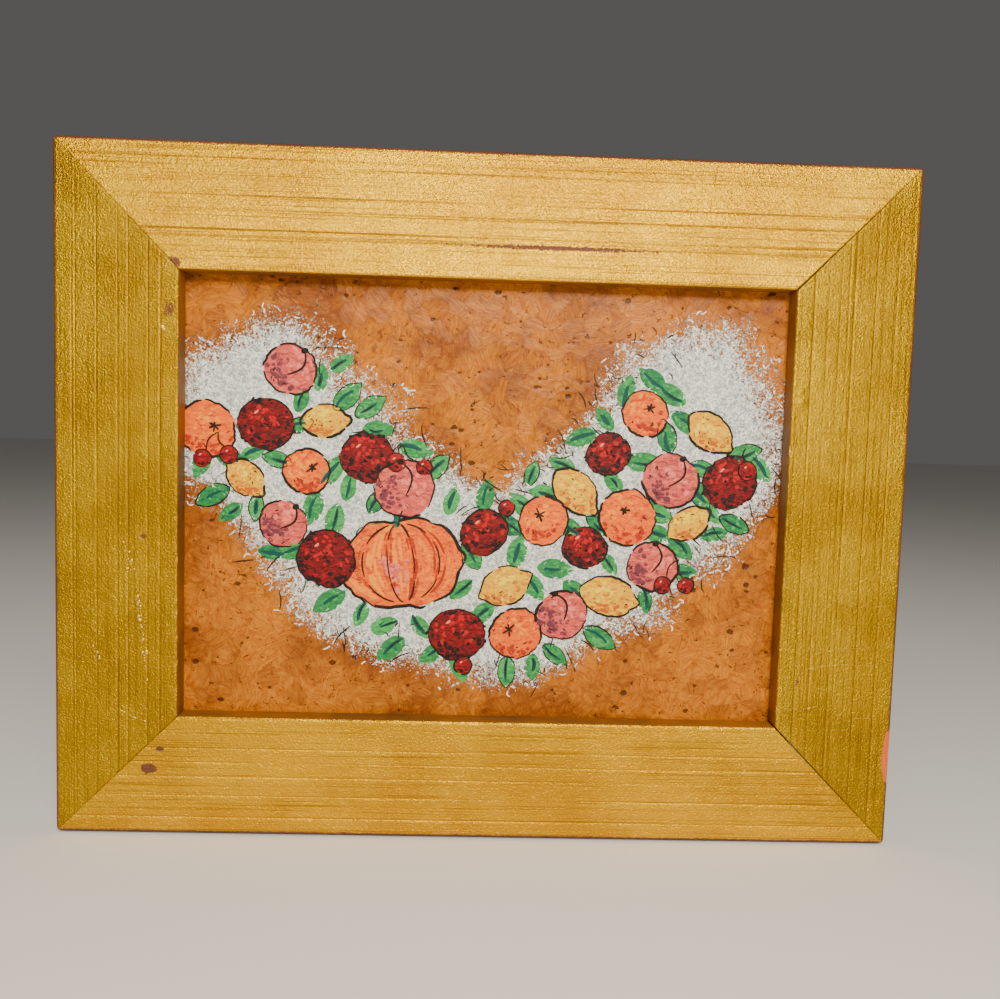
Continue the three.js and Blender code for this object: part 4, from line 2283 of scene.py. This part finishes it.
@dataclass(frozen=True)
class Studio:
    """The floor, the lights and the camera around the picture.

    The camera's turns are in degrees, and its viewpoint is in heights of the frame to the
    right of, above and in front of the middle of the picture, as the camera sees them.
    """

    moulding: Moulding
    floor_size: float = 6.0
    floor_gap: float = 0.0006
    floor_colour: Colour = srgb(238, 235, 229)
    surround: Colour = (0.82, 0.80, 0.77)
    surround_strength: float = 0.12
    sensor: float = 36.0
    lens: float = 36.0
    nearest_seen: float = 0.01
    pitch: float = 4.52
    yaw: float = 1.89
    roll: float = -1.68
    viewpoint: tuple[float, float, float] = (0.022, 0.006, 1.452)

    @property
    def face_centre(self) -> Vector:
        """The middle of the picture, level with the frame's outer arris."""
        m = self.moulding
        return Vector((0, -m.outer_depth, m.top - m.height / 2)) * MM

    def lay_floor(self) -> None:
        """Lays a plain pale floor under the frame."""
        shape = bmesh.new()
        bmesh.ops.create_grid(shape, x_segments=1, y_segments=1, size=self.floor_size / 2)
        bmesh.ops.translate(shape, vec=(0, 0, CAD_BOX[0].z - self.floor_gap), verts=shape.verts)
        mesh = bpy.data.meshes.new("floor")
        shape.to_mesh(mesh)
        shape.free()
        mesh.materials.append(StudioFinish("pale_floor", self.floor_colour).material())
        floor = bpy.data.objects.new("floor", mesh)
        bpy.context.scene.collection.objects.link(floor)

    @staticmethod
    def new_lamp(name: str, size: float, power: float, colour: Colour) -> Piece:
        """Makes a square soft lamp that faces down.

        Args:
            name: What the light is for.
            size: Its width, in metres.
            power: Its power, in watts.
            colour: Its colour.

        Returns:
            The lamp, still at the origin.
        """
        lamp = bpy.data.lights.new(name, "AREA")
        lamp.shape, lamp.size, lamp.energy, lamp.color = "SQUARE", size, power, colour
        holder = bpy.data.objects.new(name, lamp)
        bpy.context.scene.collection.objects.link(holder)
        return holder

    def hang_light(
        self, name: str, azimuth: float, elevation: float, distance: float, size: float,
        power: float, colour: Colour,
    ) -> None:
        """Hangs a square soft light that faces the middle of the picture.

        Args:
            name: What the light is for.
            azimuth: How far to the viewer's right it is, in degrees.
            elevation: How far above the middle it is, in degrees.
            distance: How far away it is, in metres.
            size: Its width, in metres.
            power: Its power, in watts.
            colour: Its colour.
        """
        turn, rise = math.radians(azimuth), math.radians(elevation)
        away = Vector(
            (math.sin(turn) * math.cos(rise), -math.cos(turn) * math.cos(rise), math.sin(rise))
        )
        holder = self.new_lamp(name, size, power, colour)
        holder.location = self.face_centre + away * distance
        holder.rotation_mode = "QUATERNION"
        holder.rotation_quaternion = (-away).to_track_quat("-Z", "Y")

    def shine_on_floor(
        self, name: str, forward: float, height: float, size: float, power: float, colour: Colour
    ) -> None:
        """Hangs a lamp that lights the floor before the picture, for the gilding to reflect.

        Args:
            name: What the light is for.
            forward: How far in front of the picture it is, in metres.
            height: How high above the middle of the picture it is, in metres.
            size: Its width, in metres.
            power: Its power, in watts.
            colour: Its colour.
        """
        holder = self.new_lamp(name, size, power, colour)
        holder.location = self.face_centre + Vector((0, -forward, height))

    def light(self) -> None:
        """Sets a warm lamp in front, a weak wide one at the left, and a soft even surround."""
        self.hang_light("key_lamp", 8, 24, 0.66, 0.13, 4.5, (1.0, 0.93, 0.80))
        self.hang_light("fill_lamp", -55, 20, 1.4, 0.9, 0.9, (1.0, 0.97, 0.92))
        self.shine_on_floor("floor_lamp", 0.75, 0.6, 0.5, 9.0, (1.0, 0.94, 0.84))
        world = bpy.data.worlds.new("soft_surround")
        world.use_nodes = True
        backdrop = world.node_tree.nodes["Background"]
        backdrop.inputs["Color"].default_value = (*self.surround, 1.0)
        backdrop.inputs["Strength"].default_value = self.surround_strength
        bpy.context.scene.world = world

    def stand_camera(self) -> None:
        """Stands the camera a little above and to the left of the middle, turned to suit."""
        facing = (
            Matrix.Rotation(math.radians(90), 3, "X")
            @ Matrix.Rotation(-math.radians(self.yaw), 3, "Y")
            @ Matrix.Rotation(-math.radians(self.pitch), 3, "X")
            @ Matrix.Rotation(-math.radians(self.roll), 3, "Z")
        )
        away = Vector(self.viewpoint) * (self.moulding.height * MM)
        lens = bpy.data.cameras.new("camera")
        lens.sensor_width, lens.lens = self.sensor, self.lens
        lens.clip_start = self.nearest_seen
        camera = bpy.data.objects.new("camera", lens)
        bpy.context.scene.collection.objects.link(camera)
        camera.rotation_mode = "QUATERNION"
        camera.rotation_quaternion = facing.to_quaternion()
        camera.location = self.face_centre + facing @ away
        bpy.context.scene.camera = camera


# Putting it together


CORK = CorkFinish(
    "cork",
    light=srgb(200, 122, 14),
    middle=srgb(166, 86, 2),
    dark=srgb(108, 46, 2),
    pit=srgb(58, 24, 12),
    pale=srgb(236, 236, 226),
    pale_shade=srgb(150, 158, 156),
    rough=0.32,
)

PAINTS = {
    paint: PaintFinish(name, srgb(*light), srgb(*middle), srgb(*dark), rough)
    for paint, name, light, middle, dark, rough in (
        (Paint.YELLOW, "yellow_paint", (244, 208, 10), (226, 162, 0), (186, 84, 0), 0.42),
        (Paint.ORANGE, "orange_paint", (250, 142, 4), (234, 94, 0), (166, 38, 0), 0.42),
        (Paint.ROSE, "rose_paint", (232, 122, 104), (206, 80, 68), (104, 46, 60), 0.42),
        (Paint.CRIMSON, "crimson_paint", (178, 12, 12), (114, 6, 9), (32, 6, 10), 0.42),
        (Paint.GREEN, "green_paint", (72, 162, 80), (34, 122, 60), (6, 70, 62), 0.42),
        (Paint.PALE, "pale_paint", (244, 243, 234), (222, 224, 216), (150, 160, 166), 0.55),
        (Paint.INK, "dark_line_paint", (62, 32, 14), (26, 15, 11), (9, 6, 6), 0.4),
    )
}


def frame_lengths(moulding: Moulding) -> list[MouldingLength]:
    """The four lengths, each with the marks that it carries.

    Args:
        moulding: The section that they share.

    Returns:
        The lengths, not yet built.
    """
    return [
        MouldingLength(
            Side.TOP,
            moulding,
            [Score(3.7, 0.10), Score(5.6, 0.13), Score(12.3, 0.16), Score(15.5, 0.18),
             Score(20.0, 0.26), Score(21.6, 0.18, 0.4)],
            dents=[Dent(44.7, 24.9, 1.0, 0.22)],
            rubs=[Rub(115, 21.8, 30, 0.7, 0.62), Rub(28.0, 28.0, 1.6, 1.2, 1.0)],
            scuffs=[Scuff(151.5, 1.2, 150.0, 14.4, 0.18, 0.3, True, 2),
                    Scuff(153.0, 20.0, 149.3, 24.0, 0.14, 0.3, True, 2),
                    Scuff(161.8, 1.3, 160.4, 3.0, 0.35, 0.0, True, 1)],
            open_at_start=0.22,
            seed=3,
        ),
        MouldingLength(
            Side.BOTTOM,
            moulding,
            [Score(4.2, 0.2), Score(9.7, 0.18), Score(14.5, 0.15), Score(18.1, 0.17),
             Score(21.6, 0.15)],
            rubs=[Rub(22.5, 16.3, 1.9, 1.2, 0.9), Rub(25.2, 21.3, 1.0, 0.6, 0.8)],
            open_at_end=0.2,
            seed=11,
        ),
        MouldingLength(
            Side.LEFT,
            moulding,
            [Score(4.4, 0.14), Score(5.2, 0.12), Score(10.2, 0.12), Score(15.2, 0.17),
             Score(17.7, 0.12), Score(22.3, 0.12), Score(25.2, 0.12)],
            dents=[Dent(90.4, 21.2, 0.7, 0.3)],
            rubs=[Rub(90.4, 21.3, 0.6, 0.6, 0.9), Rub(38.5, 27.2, 2.2, 1.6, 0.55)],
            scuffs=[Scuff(109, 5.4, 102.3, 19.6, 0.16, 0.8), Scuff(131.5, 15.3, 134, 22.6, 0.2, 0.3),
                    Scuff(119, 2.0, 119.8, 9.2, 0.12), Scuff(124.6, 1.0, 125.4, 5.4, 0.12)],
            crumbs=[Crumbs(91.5, 16.9, 100, 18.5, 14), Crumbs(102.5, 19.8, 124.5, 22.3, 26, 0.3, 0.28),
                    Crumbs(42.0, 25.0, 43.0, 26.5, 6, 0.3), Crumbs(116, 9.5, 121, 10.8, 8, 0.3)],
            seed=23,
        ),
        MouldingLength(
            Side.RIGHT,
            moulding,
            [Score(5.0, 0.15), Score(10.2, 0.16), Score(15.4, 0.14), Score(16.8, 0.12),
             Score(18.7, 0.14), Score(21.6, 0.14), Score(25.2, 0.16)],
            dents=[Dent(52.7, 27.2, 1.2, -0.35), Dent(55.2, 27.0, 1.3, -0.4),
                   Dent(58.6, 27.6, 0.7, 0.3)],
            rubs=[Rub(140.0, 0.4, 5.2, 1.2, 1.2, True), Rub(121.5, 24.5, 1.6, 0.5, 0.6)],
            scuffs=[Scuff(33.2, 24.5, 31.4, 5.0, 0.22, 0.2, breaks=7),
                    Scuff(61.5, 24.0, 60.4, 12.0),
                    Scuff(69, 24.0, 69, 19.5, breaks=2),
                    Scuff(102.2, 12.5, 103.2, 3.5),
                    Scuff(111.8, 24.5, 113.4, 19.0, 0.22, 0.3),
                    Scuff(114.8, 21.0, 113.4, 5.5, 0.18, -0.6, breaks=5),
                    Scuff(118.4, 23.0, 117.6, 5.0, 0.2, -0.7, breaks=6),
                    Scuff(127.6, 28.0, 127.2, 18.5, 0.2, 0.4, breaks=4),
                    Scuff(126.4, 14.0, 126.6, 9.0, breaks=2),
                    Scuff(130.4, 9.8, 130.4, 5.2, 0.22, breaks=2),
                    Scuff(132.8, 18.2, 133.3, 10.8, 0.2, 0.2),
                    Scuff(145.6, 13.8, 147.2, 3.6, 0.12)],
            open_at_start=0.22,
            open_at_end=0.25,
            seed=31,
        ),
    ]


def main() -> None:
    """Builds every piece in order, sets the studio around them and reports each one."""
    logging.basicConfig(level=logging.INFO, format="%(message)s")
    moulding = Moulding.of_the_solids()
    wood = WoodFinish("bare_moulding_wood", srgb(176, 132, 84), srgb(134, 92, 54)).material()
    burr = BurrFinish("bright_burr", srgb(255, 214, 120), srgb(226, 170, 70), 1.0, 0.3).material()
    scratch = BurrFinish("dark_scratch", srgb(120, 78, 24), srgb(78, 44, 14), 0.0, 0.6).material()
    for number, length in enumerate(frame_lengths(moulding)):
        upright_in_painted_shade = length.side in (Side.LEFT, Side.RIGHT)
        # The stiles get a darker leaf and deep leaf than the rails. This is painted shade for the weaker
        # light on the upright lengths, over one and the same gilding.
        gilt = GiltFinish(
            "gilt_" + length.side.name.lower(),
            leaf=srgb(192, 150, 14) if upright_in_painted_shade else srgb(228, 174, 6),
            deep_leaf=srgb(168, 126, 10) if upright_in_painted_shade else srgb(210, 154, 5),
            seed=number * 17.0,
        ).material()
        length.build([gilt, wood, burr, scratch])

    swag = Swag()
    panel = CorkPanel.of_the_solid(swag.ground)
    panel.build(CORK.material())
    easel = Easel(panel)
    swag.paint(easel)
    easel.finish({paint: finish.material() for paint, finish in PAINTS.items()})

    studio = Studio(moulding)
    studio.lay_floor()
    studio.light()
    studio.stand_camera()


if __name__ == "__main__":
    main()
